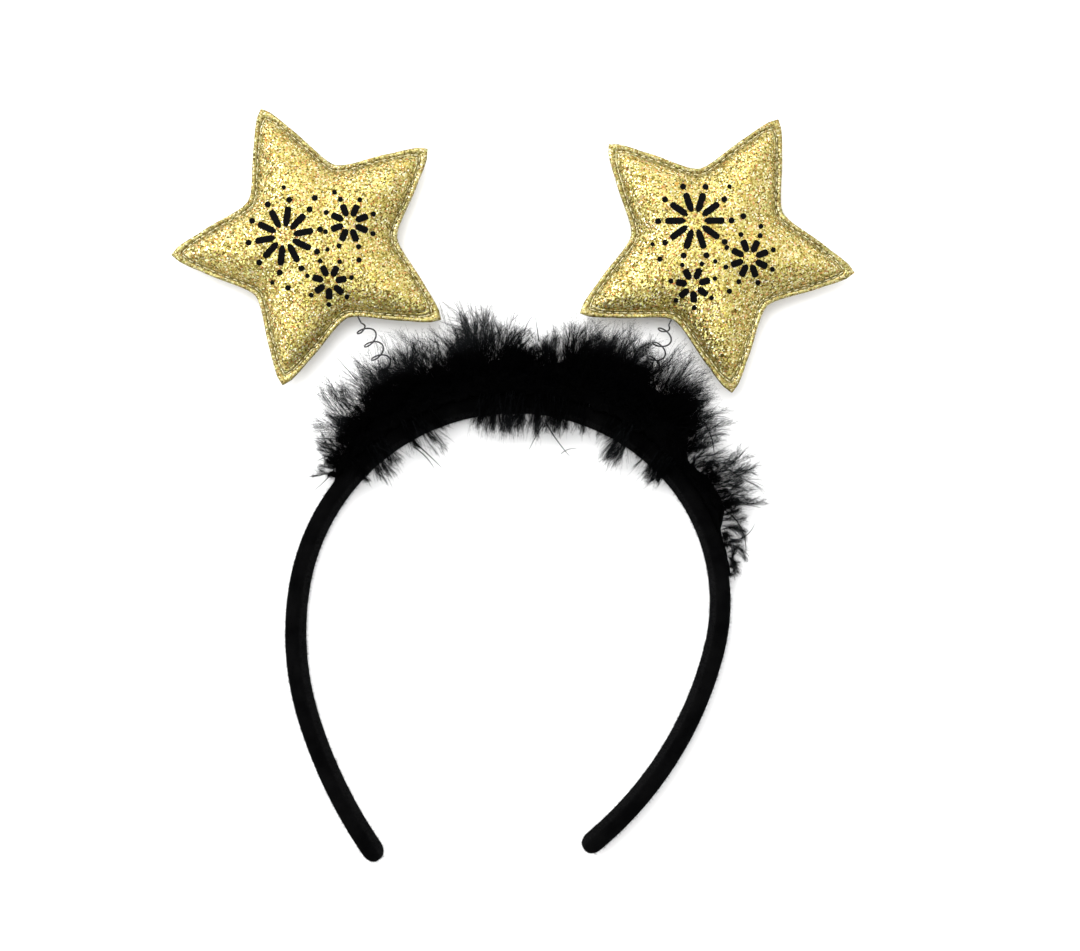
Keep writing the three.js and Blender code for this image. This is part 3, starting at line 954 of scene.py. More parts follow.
@dataclass(frozen=True)
class WireSpring:
    """A wire wound into an open coil between the band and its star."""

    sizes: SpringSizes
    side: Side
    solved: dict[str, np.ndarray]
    shift: np.ndarray
    points_per_turn: int = 28
    wire_resolution: int = 3

    def line(self) -> np.ndarray:
        """Wind the wire.

        Returns:
            Points along it, in millimetres.
        """
        sizes = self.sizes
        low, high, axis = (self.solved[key] for key in ("low", "high", "axis"))
        coil = float(np.linalg.norm(high - low))
        turns = round(coil / sizes.pitch)
        wound = turns * math.pi * sizes.coil
        total = sizes.in_band + wound + (float(self.solved["stop"]) + sizes.in_star)
        place = np.linspace(0, total, round(total / wound * turns * self.points_per_turn))
        share = np.clip((place - sizes.in_band) / wound, 0, 1)
        after = np.maximum(place - sizes.in_band - wound, 0)
        height = np.minimum(place - sizes.in_band, 0) + share * coil + after
        ends = np.clip(np.minimum(share, 1 - share) * turns / sizes.end_turns, 0, 1)
        radius = sizes.coil / 2 * ends * ends * (3 - 2 * ends)
        angle = share * turns * 2 * math.pi
        height = height + np.sin(angle) * sizes.ring_lean * ends
        across = unit(np.cross(axis, UP))
        upward = np.cross(axis, across)
        ring = np.outer(np.cos(angle), across) + np.outer(np.sin(angle), upward)
        return low + np.outer(height, axis) + ring * radius[:, None] + self.shift

    def build(self, finish: Material) -> None:
        """Make and dress the spring.

        Args:
            finish: The wire.
        """
        name = f"coil_{self.side.value}"
        curve = bpy.data.curves.new(name, "CURVE")
        curve.dimensions = "3D"
        curve.bevel_depth = self.sizes.wire / 2 * MM
        curve.bevel_resolution = self.wire_resolution
        curve.use_fill_caps = True
        points = self.line() * MM
        spline = curve.splines.new("POLY")
        spline.points.add(len(points) - 1)
        spline.points.foreach_set("co", np.insert(points, 3, 1, axis=1).ravel())
        piece = bpy.data.objects.new(name, curve)
        bpy.context.scene.collection.objects.link(piece)
        make_active(piece)
        bpy.ops.object.convert(target="MESH")
        piece = bpy.context.object
        close_up(piece)
        smooth(piece, 60)
        dress(piece, finish)
        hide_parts(f"spring_{self.side.value}")


PADDING = ((1.0, 0.1), (0.93, 0.38), (0.82, 0.62), (0.66, 0.82), (0.4, 0.95), (0.14, 1.0))
"""Rings of the padded form: share of the seam's outline, and share of the full rise."""

FLANGE_ROWS = (
    (5.2, 0.15), (0.25, 0.15), (0, 0.4), (0.04, 0.78), (0.3, 1.0), (0.9, 0.98), (1.4, 0.84),
    (1.62, 0.45), (1.82, 0.5), (2.0, 1.15), (2.3, 1.35), (2.8, 1.1), (5.2, 0.8),
)  # fmt: skip
"""Lines round the flange in millimetres: across from its outer edge, and rise over the seam."""

FLANGE_WAVES = ((0.12, 23, 0), (0.08, 37, 1))
"""Waves of the flange: height in millimetres, number round the star, and where they start."""

CLOTH = {
    "quality": 6,
    "mass": 0.3,
    "tension_stiffness": 15,
    "compression_stiffness": 15,
    "shear_stiffness": 5,
    "bending_stiffness": 0.4,
    "use_pressure": True,
    "uniform_pressure_force": 4.0,
    "shrink_min": -0.02,
    "vertex_group_mass": "seam",
}
"""How the star's cloth stretches, bends and is blown up."""


@dataclass(frozen=True)
class PaddedStar:
    """One padded star, modelled round the origin with a tip along +X and its seam at height zero.

    The pad is worked at a larger scale. Lengths are in millimetres.
    """

    sizes: StarSizes
    work_scale: float = 5.0
    outline_count: int = 120
    voxel: float = 1.45
    start_fill: float = 0.7
    frames: int = 20
    most_move: float = 6.0
    pin_share: float = 0.955
    crease_share: float = 0.4
    overlap: float = 0.75
    stitch_gap: float = 2.5
    stitch_ahead: float = 0.6
    stitch_across: float = 1.72
    stitch_height: float = 0.66
    stitch_half: tuple[float, float, float] = (0.8, 0.17, 0.17)

    def outline_disc(self) -> Piece:
        """Make a flat star from a circle, its points drawn in row by row.

        Returns:
            The star, one flat face.
        """
        sizes = self.sizes
        deselect_all()
        radius = sizes.reach * sizes.seam * self.work_scale * MM
        bpy.ops.mesh.primitive_circle_add(
            vertices=self.outline_count, radius=radius, fill_type="NGON"
        )
        piece = new_primitive("star_body")
        edit(piece)
        period = 360 / sizes.arms
        for degrees, reach in sizes.outline[1:]:

            def on_row(place: Vector, row: int = degrees) -> bool:
                """Whether a point is at a row's angle from the nearest tip."""
                angle = math.degrees(math.atan2(place.y, place.x))
                return abs(abs((angle + period / 2) % period - period / 2) - row) < 0.5

            pick(piece, on_row)
            bpy.ops.transform.resize(value=(reach, reach, 1), center_override=(0, 0, 0))
        deselect_all()
        return piece

    def lens(self) -> Piece:
        """Make the half filled pad that the cloth is laid on.

        Returns:
            The pad, at working scale.
        """
        piece = self.outline_disc()
        rise = self.sizes.thickness / 2 * self.start_fill * self.work_scale * MM
        for way in (1, -1):
            edit(piece)
            bpy.ops.mesh.select_mode(type="FACE")
            mesh = bmesh.from_edit_mesh(piece.data)
            for face in mesh.faces:
                flat = abs(face.calc_center_median().z) < 1e-6 and len(face.verts) > 4
                face.select_set(flat)
            bmesh.update_edit_mesh(piece.data)
            last_share, last_part = 1.0, 0.0
            for share, part in PADDING:
                step = (0, 0, way * (part - last_part) * rise)
                bpy.ops.mesh.extrude_region_move(TRANSFORM_OT_translate={"value": step})
                ratio = share / last_share
                centre = (0, 0, way * part * rise)
                bpy.ops.transform.resize(value=(ratio, ratio, 1), center_override=centre)
                last_share, last_part = share, part
            deselect_all()
        close_up(piece)
        piece.data.remesh_voxel_size = self.voxel * self.work_scale * MM
        make_active(piece)
        bpy.ops.object.voxel_remesh()
        return piece

    def inflate(self, piece: Piece) -> None:
        """Blow the pad up as cloth that is held at its seam, and cap how far it moves.

        Args:
            piece: The pad, at working scale.
        """
        start = points_of(piece)
        flat = start[:, :2] / (self.work_scale * MM)
        reach = self.sizes.reach_at(np.arctan2(flat[:, 1], flat[:, 0])) * self.sizes.seam
        pinned = np.nonzero(np.linalg.norm(flat, axis=1) / reach > self.pin_share)[0]
        piece.vertex_groups.new(name="seam").add(pinned.tolist(), 1.0, "REPLACE")
        cloth = piece.modifiers.new("cloth", "CLOTH")
        for key, value in CLOTH.items():
            setattr(cloth.settings, key, value)
        cloth.settings.effector_weights.gravity = 0
        cloth.collision_settings.use_collision = False
        cloth.point_cache.frame_start = 1
        cloth.point_cache.frame_end = self.frames
        for number in range(1, self.frames + 1):
            bpy.context.scene.frame_set(number)
        blown = points_of(piece.evaluated_get(bpy.context.evaluated_depsgraph_get()))
        way = blown - start
        far = np.linalg.norm(way, axis=1, keepdims=True)
        cap = self.most_move * self.work_scale * MM
        way *= np.minimum(1, cap / np.maximum(far, 1e-9))
        piece.modifiers.remove(cloth)
        bpy.context.scene.frame_set(1)
        move_points(piece, start + way)

    def settle(self, piece: Piece, start: np.ndarray) -> None:
        """Bring the pad to its real size, widen it up to the seam ridge and press it on the floor.

        Args:
            piece: The pad, at working scale.
            start: Where its points were before it was blown up.
        """
        sizes = self.sizes
        half = sizes.thickness / 2
        plain = start / (self.work_scale * MM)
        blown = points_of(piece) / (self.work_scale * MM)
        for places in (plain, blown):
            up = places[:, 2] > 0
            places[up, 2] *= half / places[:, 2].max()
            places[~up, 2] *= half / -places[:, 2].min()
        places = plain * (1 - self.crease_share) + blown * self.crease_share
        places[:, :2] *= sizes.share_at(sizes.flange - self.overlap) / sizes.seam
        places[:, 2] = np.maximum(places[:, 2], -sizes.height)
        move_points(piece, places * MM)

    def body(self) -> Piece:
        """Make the padded body.

        Returns:
            The body, round the origin.
        """
        piece = self.lens()
        start = points_of(piece)
        self.inflate(piece)
        self.settle(piece, start)
        subdivision = piece.modifiers.new("smooth", "SUBSURF")
        subdivision.levels = subdivision.render_levels = 1
        apply_all(piece)
        places = points_of(piece)
        places[:, 2] = np.maximum(places[:, 2], -self.sizes.height * MM)
        move_points(piece, places)
        smooth(piece, 80)
        return piece

    def flange(self) -> Piece:
        """Make the two flat cloth edges round the pad.

        Returns:
            Both as one mesh.
        """
        sizes = self.sizes
        count = self.outline_count * 3
        angle = np.arange(count) * 2 * math.pi / count
        wave = sum(high * np.sin(angle * number + at) for high, number, at in FLANGE_WAVES)
        rings = []
        folds = []
        for across, rise in FLANGE_ROWS:
            fold = wave * np.clip(1 - across / sizes.flange, 0, 1)
            rings.append(
                np.column_stack([sizes.ring(sizes.share_at(across), count), rise + fold])
            )
            folds.append(fold)
        upper = np.concatenate(rings)
        lower = upper * np.array([1, 1, -1])
        lower[:, 2] += 2 * np.concatenate(folds)
        quads = ring_faces(len(FLANGE_ROWS), count).reshape(-1, 4)
        faces = [np.concatenate([quads, quads + len(upper)])]
        piece = piece_from_arrays("star_flange", np.concatenate([upper, lower]) * MM, faces)
        close_up(piece)
        smooth(piece, 50)
        return piece

    def stitch(self) -> tuple[np.ndarray, np.ndarray]:
        """Model one stitch from a small sphere.

        Returns:
            Its places and faces.
        """
        deselect_all()
        bpy.ops.mesh.primitive_uv_sphere_add(segments=8, ring_count=6, radius=MM)
        piece = new_primitive("one_stitch")
        edit(piece, everything=True)
        bpy.ops.transform.resize(value=self.stitch_half)
        bpy.ops.mesh.quads_convert_to_tris()
        deselect_all()
        return take_mesh(piece)

    def stitches(self) -> Piece:
        """Lay stitches along the flange, above and below.

        Returns:
            All stitches as one mesh.
        """
        sizes = self.sizes
        ring = sizes.ring(sizes.share_at(self.stitch_across), self.outline_count * 6)
        closed = np.vstack([ring, ring[:1]])
        steps = np.linalg.norm(np.diff(closed, axis=0), axis=1)
        lengths = np.concatenate([[0], np.cumsum(steps)])
        count = round(lengths[-1] / self.stitch_gap)
        at = (np.arange(count) + 0.5) * lengths[-1] / count
        ahead = (at + self.stitch_ahead) % lengths[-1]
        x, y = (np.interp(at, lengths, column) for column in closed.T)
        ahead_x, ahead_y = (np.interp(ahead, lengths, column) for column in closed.T)
        turn = np.arctan2(ahead_y - y, ahead_x - x)[:, None]
        places, faces = self.stitch()
        cos, sin = np.cos(turn), np.sin(turn)
        px = places[:, 0] * cos - places[:, 1] * sin + x[:, None] * MM
        py = places[:, 0] * sin + places[:, 1] * cos + y[:, None] * MM
        sheets = []
        for height in (self.stitch_height * MM, -self.stitch_height * MM):
            pz = np.broadcast_to(places[:, 2] + height, px.shape)
            sheets.append(np.stack([px, py, pz], axis=-1).reshape(-1, 3))
        numbers = (faces + np.arange(2 * count)[:, None, None] * len(places)).reshape(-1, 3)
        piece = piece_from_arrays("star_stitches", np.concatenate(sheets), [numbers])
        smooth(piece, 80)
        return piece


@dataclass(frozen=True)
class Burst:
    """A firework of strokes round a point, in millimetres from the star's middle."""

    x: float
    y: float
    inner: float
    outer: float
    rays: int
    dot: float
    spread: float


@dataclass(frozen=True)
class FireworkPrint:
    """Fireworks printed on the front of a star, in millimetres; loose dots are x, y and radius."""

    bursts: tuple[Burst, ...] = (
        Burst(x=-8.0, y=5.5, inner=2.9, outer=9.2, rays=10, dot=0.95, spread=2.2),
        Burst(x=12.2, y=1.0, inner=2.1, outer=6.1, rays=8, dot=0.8, spread=1.8),
        Burst(x=-1.0, y=-13.2, inner=1.9, outer=5.4, rays=7, dot=0.75, spread=1.6),
    )
    loose_dots: tuple[tuple[float, float, float], ...] = (
        (5.5, 12.5, 0.95), (11.8, 11.8, 0.75), (10.2, -10.8, 0.85), (-13.6, -9.6, 0.85),
        (-17.5, -6.0, 0.65), (2.6, -3.9, 0.7), (-2.0, 19.5, 0.7),
    )  # fmt: skip
    stroke: float = 2.05
    burst_turn: float = 0.35
    above: float = 30
    lift: float = 0.16
    thickness: float = 0.22

    def one_stroke(self) -> tuple[np.ndarray, np.ndarray]:
        """Model one stroke of length one along +X from a grid.

        Returns:
            Its places and faces.
        """
        deselect_all()
        bpy.ops.mesh.primitive_grid_add(x_subdivisions=9, y_subdivisions=4, size=1)
        piece = new_primitive("one_stroke")
        edit(piece, everything=True)
        bpy.ops.transform.translate(value=(0.5, 0, 0))
        for edge, wide in ((0.05, 0.35), (0.2, 0.75)):
            pick(piece, lambda place, edge=edge: place.x < edge)
            bpy.ops.transform.resize(value=(1, wide, 1), center_override=(0, 0, 0))
        pick(piece, lambda place: place.x > 0.95)
        bpy.ops.transform.resize(value=(1, 0.55, 1), center_override=(1, 0, 0))
        deselect_all()
        return take_mesh(piece)

    def one_dot(self) -> tuple[np.ndarray, np.ndarray]:
        """Model one dot of radius one.

        Returns:
            Its places and faces.
        """
        deselect_all()
        bpy.ops.mesh.primitive_circle_add(vertices=14, radius=1, fill_type="TRIFAN")
        return take_mesh(new_primitive("one_dot"))

    def flat_print(self, turn: float) -> Piece:
        """Lay out every stroke and dot as one flat mesh.

        Args:
            turn: Turn of the whole print in the star's own frame, in radians.

        Returns:
            The flat print, high over the star.
        """
        stroke, dot = self.one_stroke(), self.one_dot()
        laid: list[np.ndarray] = []
        faces: dict[int, list[np.ndarray]] = {4: [], 3: []}

        def lay(pattern: Rows, size: Pair, point: Pair, ahead: float = 0, turn: float = 0) -> None:
            """Lay one stroke or dot.

            Args:
                pattern: Its places and faces at size one.
                size: Its length and width.
                point: The point that it is turned about.
                ahead: How far before the point it starts.
                turn: Its turn in radians.
            """
            flat = pattern[0][:, :2] * size
            flat[:, 0] += ahead
            faces[pattern[1].shape[1]].append(pattern[1] + sum(map(len, laid)))
            laid.append(turned(flat, turn) + point)

        for burst in self.bursts:
            reach = burst.outer + burst.spread
            for ray in range(burst.rays):
                angle = 2 * math.pi * ray / burst.rays + self.burst_turn * burst.inner
                size = (burst.outer - burst.inner, self.stroke)
                lay(stroke, size, (burst.x, burst.y), burst.inner, angle)
                x = burst.x + reach * math.cos(angle)
                lay(dot, (burst.dot,) * 2, (x, burst.y + reach * math.sin(angle)))
        for x, y, radius in self.loose_dots:
            lay(dot, (radius,) * 2, (x, y))
        places = np.insert(turned(np.concatenate(laid), turn), 2, self.above, axis=1)
        groups = [np.concatenate(rows) for rows in faces.values()]
        return piece_from_arrays("star_print", places * MM, groups)

    def build(self, body: Piece, turn: float) -> Piece:
        """Make the print on a padded body.

        Args:
            body: The padded body, round the origin.
            turn: Turn of the print in the star's own frame, in radians.

        Returns:
            The print as a thin closed skin on the body.
        """
        piece = self.flat_print(turn)
        wrap = piece.modifiers.new("wrap", "SHRINKWRAP")
        wrap.wrap_method = "PROJECT"
        wrap.use_project_z = True
        wrap.use_negative_direction = True
        wrap.use_positive_direction = False
        wrap.target = body
        wrap.offset = self.lift * MM
        skin = piece.modifiers.new("skin", "SOLIDIFY")
        skin.thickness = self.thickness * MM
        skin.offset = 0
        apply_all(piece)
        close_up(piece)
        smooth(piece, 50)
        return piece


def place_copy(piece: Piece, name: str, turn: float, centre: np.ndarray) -> Piece:
    """Copy a piece with its own mesh and bake a turn and a place into it.

    Args:
        piece: The piece round the origin.
        name: The copy's name.
        turn: Turn about +Z in radians.
        centre: Where the middle goes, in millimetres.

    Returns:
        The copy.
    """
    made = piece.copy()
    made.data = piece.data.copy()
    made.name = made.data.name = name
    bpy.context.scene.collection.objects.link(made)
    shift = Matrix.Translation(Vector(centre * MM))
    made.data.transform(shift @ Matrix.Rotation(turn, 4, "Z"))
    return made


@dataclass(frozen=True)
class Fullness:
    """How full the trim is at a distance from the crown, in millimetres from the band's line.

    dense is where the fluff outside stops being thick, out where its last strands end, and crowd
    the share of plumes.
    """

    at: float
    dense: float
    out: float
    crowd: float = 1


@dataclass(frozen=True)
class Tuft:
    """Plumes that stand out together: distance from the crown, reach and lean in millimetres."""

    at: float
    out: float
    lean: float
    count: int


@dataclass(frozen=True)
class BareQuill:
    """A stiff quill that stands out of the fluff, from one place to another, in millimetres."""

    start: Pair
    end: Pair
    height: float = 9
    width: float = 0.36


# fmt: off
FULLNESS = tuple(Fullness(*row) for row in (
    (-62, 6, 9, 0.6), (-56, 9, 17, 0.8), (-50, 12, 22, 0.8), (-46, 15, 29, 0.9), (-41, 19, 24),
    (-38, 18, 29), (-33, 18, 26), (-29, 17, 30), (-24, 17, 28), (-20, 17, 25), (-15, 18, 26),
    (-11, 18.5, 34), (-6, 20, 31), (-1, 20, 27), (4, 17, 21), (8, 18, 24), (13, 22, 29),
    (21, 23, 32, 1.1), (27, 23, 32.5, 1.1), (34, 23, 30, 1.1), (38, 25, 33, 1.1),
    (42, 25, 32, 1.1), (46, 24, 31), (51, 18, 27, 0.8), (54, 11, 19, 0.45), (57, 9, 23, 0.35),
    (61, 11, 20, 0.35), (65, 12, 25, 0.4), (72, 12, 22, 0.35), (76, 8, 16, 0.25),
    (81, 3, 12, 0.16), (88, 2, 9.5, 0.12), (94, 1, 5, 0.05),
))

TUFTS = tuple(Tuft(*row) for row in (
    (-60, 10, -2, 5), (-56, 17, -1.5, 8), (-51, 21.5, -2, 8), (-46, 29.5, -1, 10),
    (-41, 24, -3, 7), (-37, 29.5, -3, 10), (-33, 27, -2, 9), (-28.5, 30, -2, 9),
    (-24, 29, -2, 9), (-19.5, 26, -2, 9), (-15, 26, 1, 9), (-10.5, 34, -3, 18),
    (-7.5, 31, 1, 14), (-3, 27.5, 3, 12), (2, 22, 2, 7), (8.5, 24, 0, 8), (13.5, 29, -1, 12),
    (18, 31, 0, 12), (23, 32, 1, 16), (28, 32, 1, 16), (33.5, 29, 1, 13), (38.5, 33, 1, 16),
    (43, 31.5, 2, 15), (48, 29, 2, 10), (51, 27, 1, 8), (56, 24, 1.5, 6), (60.5, 19, 1, 5),
    (64, 25, 1.5, 7), (67.5, 22, 2, 7), (72, 21, 2, 7), (76, 14, 3, 5), (80, 11.5, 4, 5),
    (84, 10, 5, 5), (90, 5, 6, 4),
))

INNER_TUFTS = tuple(Tuft(*row) for row in (
    (-54, 5.5, -1, 5), (-47, 10.5, -3, 10), (-43, 8, -1, 5), (-35, 8, 1, 5), (-31, 12, 4, 6),
    (-26, 4.2, 2, 3), (-8, 7, -5, 8), (-5, 10, -3, 11), (-1, 10.5, -2, 13), (3, 11, -2, 12),
    (7, 11.5, 0, 12), (11, 9.5, 2, 10), (15, 9, 2, 9), (20, 7, 3, 4), (30, 5.5, 0, 3),
    (34, 14.5, 2, 10), (37, 12, 1, 8), (42, 4.5, 1, 3), (47, 7, 1, 5), (50.5, 8.5, 2, 9),
    (53.5, 7, -1, 5),
))

BARE_QUILLS = tuple(BareQuill(*row) for row in (
    ((-48.4, 32.3), (-55.7, 40.4)), ((-55.3, 6.6), (-64.1, -2.6), 5),
    ((-54.9, 14.3), (-62.5, 14.6), 7), ((-54.9, 10.6), (-62.3, 7.4), 6),
    ((-31.0, 13.5), (-21.8, 4.8), 7, 0.45), ((-31.3, 12.0), (-24.5, 4.6), 5, 0.4),
    ((3.4, 46.4), (7.2, 54.1), 13, 0.3), ((8.2, 44.8), (6.9, 53.7), 12, 0.3),
    ((10.4, 19.5), (18.7, 8.1), 6, 0.45), ((15.1, 9.8), (20.3, 11.4), 6, 0.3),
    ((9.6, 19.5), (4.6, 10.2), 8), ((68.0, -4.6), (82.1, -5.9), 7, 0.24),
    ((66.0, 6.0), (79.6, -1.6), 9, 0.3), ((59.5, 20.0), (63.1, 7.8), 10, 0.5),
    ((65.5, -7.0), (73.2, -23.3), 6, 0.5), ((71.3, -17.0), (76.4, -11.6), 5, 0.3),
))
# fmt: on


@dataclass(frozen=True)
class CoreSizes:
    """Sizes of the soft core under the plumes, in millimetres or as shares of the thick fluff."""

    sides: int = 20
    stations: int = 120
    share: float = 0.7
    height_share: float = 0.62
    sunk: float = 0.9
    least_half: float = 0.9
    rough: Pair = (0.78, 1.08)
    lift: float = 0.2
    least_height: float = 0.1


@dataclass(frozen=True)
class PlumeSizes:
    """Numbers and sizes of the plumes, in millimetres, degrees or shares.

    A pair is the least and the most that a size can be. A stray is how far a draw spreads.
    """

    count: int = 1020
    seed: int = 23
    chances: int = 600
    sections: int = 5
    skew: float = 1.7
    height: float = 27
    widest: float = 29
    height_gain: float = 1.35
    dense_start: float = 0.84
    rise: tuple[float, float, float] = (-45, 35, 125)
    clumps: int = 110
    clump_rise: Pair = (-30, 105)
    clump_gain: Pair = (0.45, 0.85)
    clump_pull: float = 0.62
    degree_weight: float = 0.22
    lean: float = 0.24
    lean_reach: float = 20
    tuft_rise: Pair = (14, 13)
    tuft_reach: Pair = (0.76, 1.02)
    tuft_stray: float = 1.1
    tuft_lean_stray: float = 1.9
    spine_share: float = 0.45
    spine_out: Pair = (3.8, 6.5)
    spine_up: float = 0.36
    spine_stray: float = 0.7
    tip_rise: Pair = (0.8, 1.05)
    bend_lean: float = 0.3
    bend_stray: float = 0.07
    bend_rise: float = 0.12
    inner_root: Pair = (5.0, 0.4)
    inner_bend: tuple[float, float, float] = (0.4, -0.5, 1.8)
    inner_rise: Pair = (0.1, 1.0)
    inner_stray: float = 0.8
    inner_bend_stray: float = 0.6
    inner_reach: Pair = (0.55, 1.02)
    quill_points: int = 7
    quill_width: float = 0.22
    quill_tones: Pair = (0.1, 0.45)
    curl: float = 0.34
    curl_from: float = 0.55
    wild_from: float = 54
    wild_over: float = 6
    barbs: int = 16
    barb_points: int = 5
    barb_places: Pair = (0.25, 0.85)
    barb_width: float = 0.11
    barb_lengths: Pair = (0.6, 1.12)
    barb_limits: Pair = (2, 13)
    barb_tones: Pair = (0.2, 0.8)
    barb_jitter: float = 0.03
    barb_step: float = 0.04
    barb_stray: float = 0.1
    barb_bow_strays: Pair = (0.12, 0.08)
    barb_spread: float = 31
    barb_spreads: Pair = (0.3, 1.3)
    barb_bow: float = 0.4
    barbules: int = 24
    barbule_width: float = 0.058
    barbule_length: float = 1.5
    barbule_lengths: Pair = (0.45, 1.15)
    barbule_ahead: Pair = (0.6, 2.0)
    barbule_tones: Pair = (0.4, 1.0)
    taper: float = 0.45
    # the next three shape the painted glow that lightens the thin outer strands
    glow_from: float = 0.85
    glow_over: float = 7
    glow_least: float = 0.1
    floor_lift: Pair = (0.05, 0.9)
    band_gap: float = 0.3
    band_lift: float = 0.2
    star_gap: float = 0.3
    star_edge: float = 1.2
    star_lift: float = 0.4
    bare_bow: float = 0.06
    bare_drop: float = 0.35
    bare_taper: float = 0.3
    bare_tone: float = 0.3


@dataclass(frozen=True)
class FeatherTrim:
    """Down plumes along the outside of the band, over a soft core.

    stars holds the middle and the turn of each star, which the plumes keep clear of.
    """

    sizes: Sizes
    shift: np.ndarray
    stars: list[tuple[np.ndarray, float]]
    plume: PlumeSizes = PlumeSizes()
    heart: CoreSizes = CoreSizes()

    def column(self, name: str, place: np.ndarray) -> np.ndarray:
        """Value of a column of the fullness table at places along the trim."""
        at = [row.at for row in FULLNESS]
        return np.interp(place, at, [getattr(row, name) for row in FULLNESS])

    def height_at(self, place: np.ndarray) -> np.ndarray:
        """Height of the fluff at places along the trim."""
        full = self.column("dense", place) * self.plume.height_gain / self.plume.widest
        return self.plume.height * np.sqrt(np.minimum(full, 1))

    def to_frame(self, places: np.ndarray) -> np.ndarray:
        """Turn places along, out of and over the hoop into places in the frame.

        Args:
            places: Rows of distance along, way out and height, in millimetres.

        Returns:
            The same in the frame, in metres.
        """
        flat = places.reshape(-1, 3)
        points, _, out = self.sizes.hoop.at(flat[:, 0])
        made = points + out * flat[:, 1:2] + UP * flat[:, 2:3] + self.shift
        return (made * MM).reshape(places.shape)

    def rest_on(self, places: np.ndarray, random: np.random.Generator) -> np.ndarray:
        """Lift places off the floor and out of the band.

        Args:
            places: Rows of distance along, way out and height.
            random: Source of small differences.

        Returns:
            The lifted places.
        """
        band, plume = self.sizes.band, self.plume
        noise = random.uniform(*plume.floor_lift, places.shape[:-1])
        lifted = places.copy()
        lifted[..., 2] = np.maximum(lifted[..., 2], noise)
        over_band = np.abs(lifted[..., 1]) < band.half_out + plume.band_gap
        clear = band.top + plume.band_lift + noise
        low = over_band & (lifted[..., 2] < clear)
        lifted[..., 2] = np.where(low, clear, lifted[..., 2])
        return lifted

    def painted_glow(self, places: np.ndarray) -> np.ndarray:
        """Painted glow, from 0 to 1: strands out in the thin fluff are lightened for light through
        it.

        Args:
            places: Rows of distance along, way out and height.

        Returns:
            One value for each row.
        """
        out = places[..., 1]
        thick = self.column("dense", places[..., 0]) * self.plume.glow_from
        edge = np.where(out > 0, thick, self.sizes.band.half_out)
        return np.clip((np.abs(out) - edge) / self.plume.glow_over, self.plume.glow_least, 1)

    def clear_of_stars(self, places: np.ndarray) -> np.ndarray:
        """Say which strands keep out of the stars.

        Args:
            places: Strands in the frame, in metres: strand, point, coordinate.

        Returns:
            True for each strand that is clear.
        """
        star, plume = self.sizes.star, self.plume
        clear = np.ones(len(places), bool)
        shares, parts = np.array(PADDING[::-1]).T
        for centre, turn in self.stars:
            x = places[..., 0] / MM - centre[0]
            y = places[..., 1] / MM - centre[1]
            z = places[..., 2] / MM - star.height
            reach = star.reach_at(np.arctan2(y, x) - turn) + plume.star_gap
            share = np.hypot(x, y) / reach
            rise = np.interp(share / star.seam, shares, parts * star.thickness / 2)
            half = np.maximum(rise, plume.star_edge) + plume.star_lift
            clear &= ~((share < 1) & (z > -half)).any(axis=1)
        return clear

    def core(self) -> Piece:
        """Make the soft core that backs the plumes.

        Returns:
            The core.
        """
        sizes = self.heart
        stations = np.linspace(FULLNESS[0].at + 1, FULLNESS[-1].at - 2, sizes.stations)
        shape = (sizes.stations, sizes.sides)
        out = self.column("dense", stations) * sizes.share
        half_up = self.height_at(stations)[:, None] * sizes.height_share / 2
        start = self.sizes.band.half_out - sizes.sunk
        half_out = np.maximum((out - start) / 2, sizes.least_half)[:, None]
        angle = np.arange(sizes.sides) * 2 * math.pi / sizes.sides
        rough = np.random.default_rng(self.plume.seed).uniform(*sizes.rough, shape)
        s = np.broadcast_to(stations[:, None], shape)
        o = np.maximum(start + half_out * (1 + np.cos(angle) * rough), start)
        z = half_up * (1 + np.sin(angle) * rough) + sizes.lift
        rings = np.stack([s, o, np.maximum(z, sizes.least_height)], axis=-1)
        flat = np.concatenate([rings.reshape(-1, 3), [rings[0].mean(0), rings[-1].mean(0)]])
        quads = ring_faces(*shape)[:-1]
        edge = np.arange(sizes.sides)
        ahead = np.roll(edge, -1)
        last = len(flat) - 2 - sizes.sides
        hubs = (np.full_like(edge, len(flat) - back) for back in (2, 1))
        corners = ((ahead, edge), (edge + last, ahead + last))
        caps = [np.stack([hub, *pair], axis=-1) for hub, pair in zip(hubs, corners)]
        faces = [quads.reshape(-1, 4), np.concatenate(caps)]
        return self.toned("trim_core", self.to_frame(flat), faces, np.zeros(len(flat)))

    def toned(
        self, name: str, places: np.ndarray, faces: list[np.ndarray], tones: np.ndarray
    ) -> Piece:
        """Make a piece from arrays with a shade from 0 to 1 on each vertex, for the finish.

        Args:
            name: The piece's name.
            places: Vertex places in metres.
            faces: Arrays of vertex numbers.
            tones: The shades.

        Returns:
            The piece.
        """
        piece = piece_from_arrays(name, places, faces)
        attribute = piece.data.attributes.new("tone", "FLOAT", "POINT")
        attribute.data.foreach_set("value", tones.astype(np.float32))
        return piece

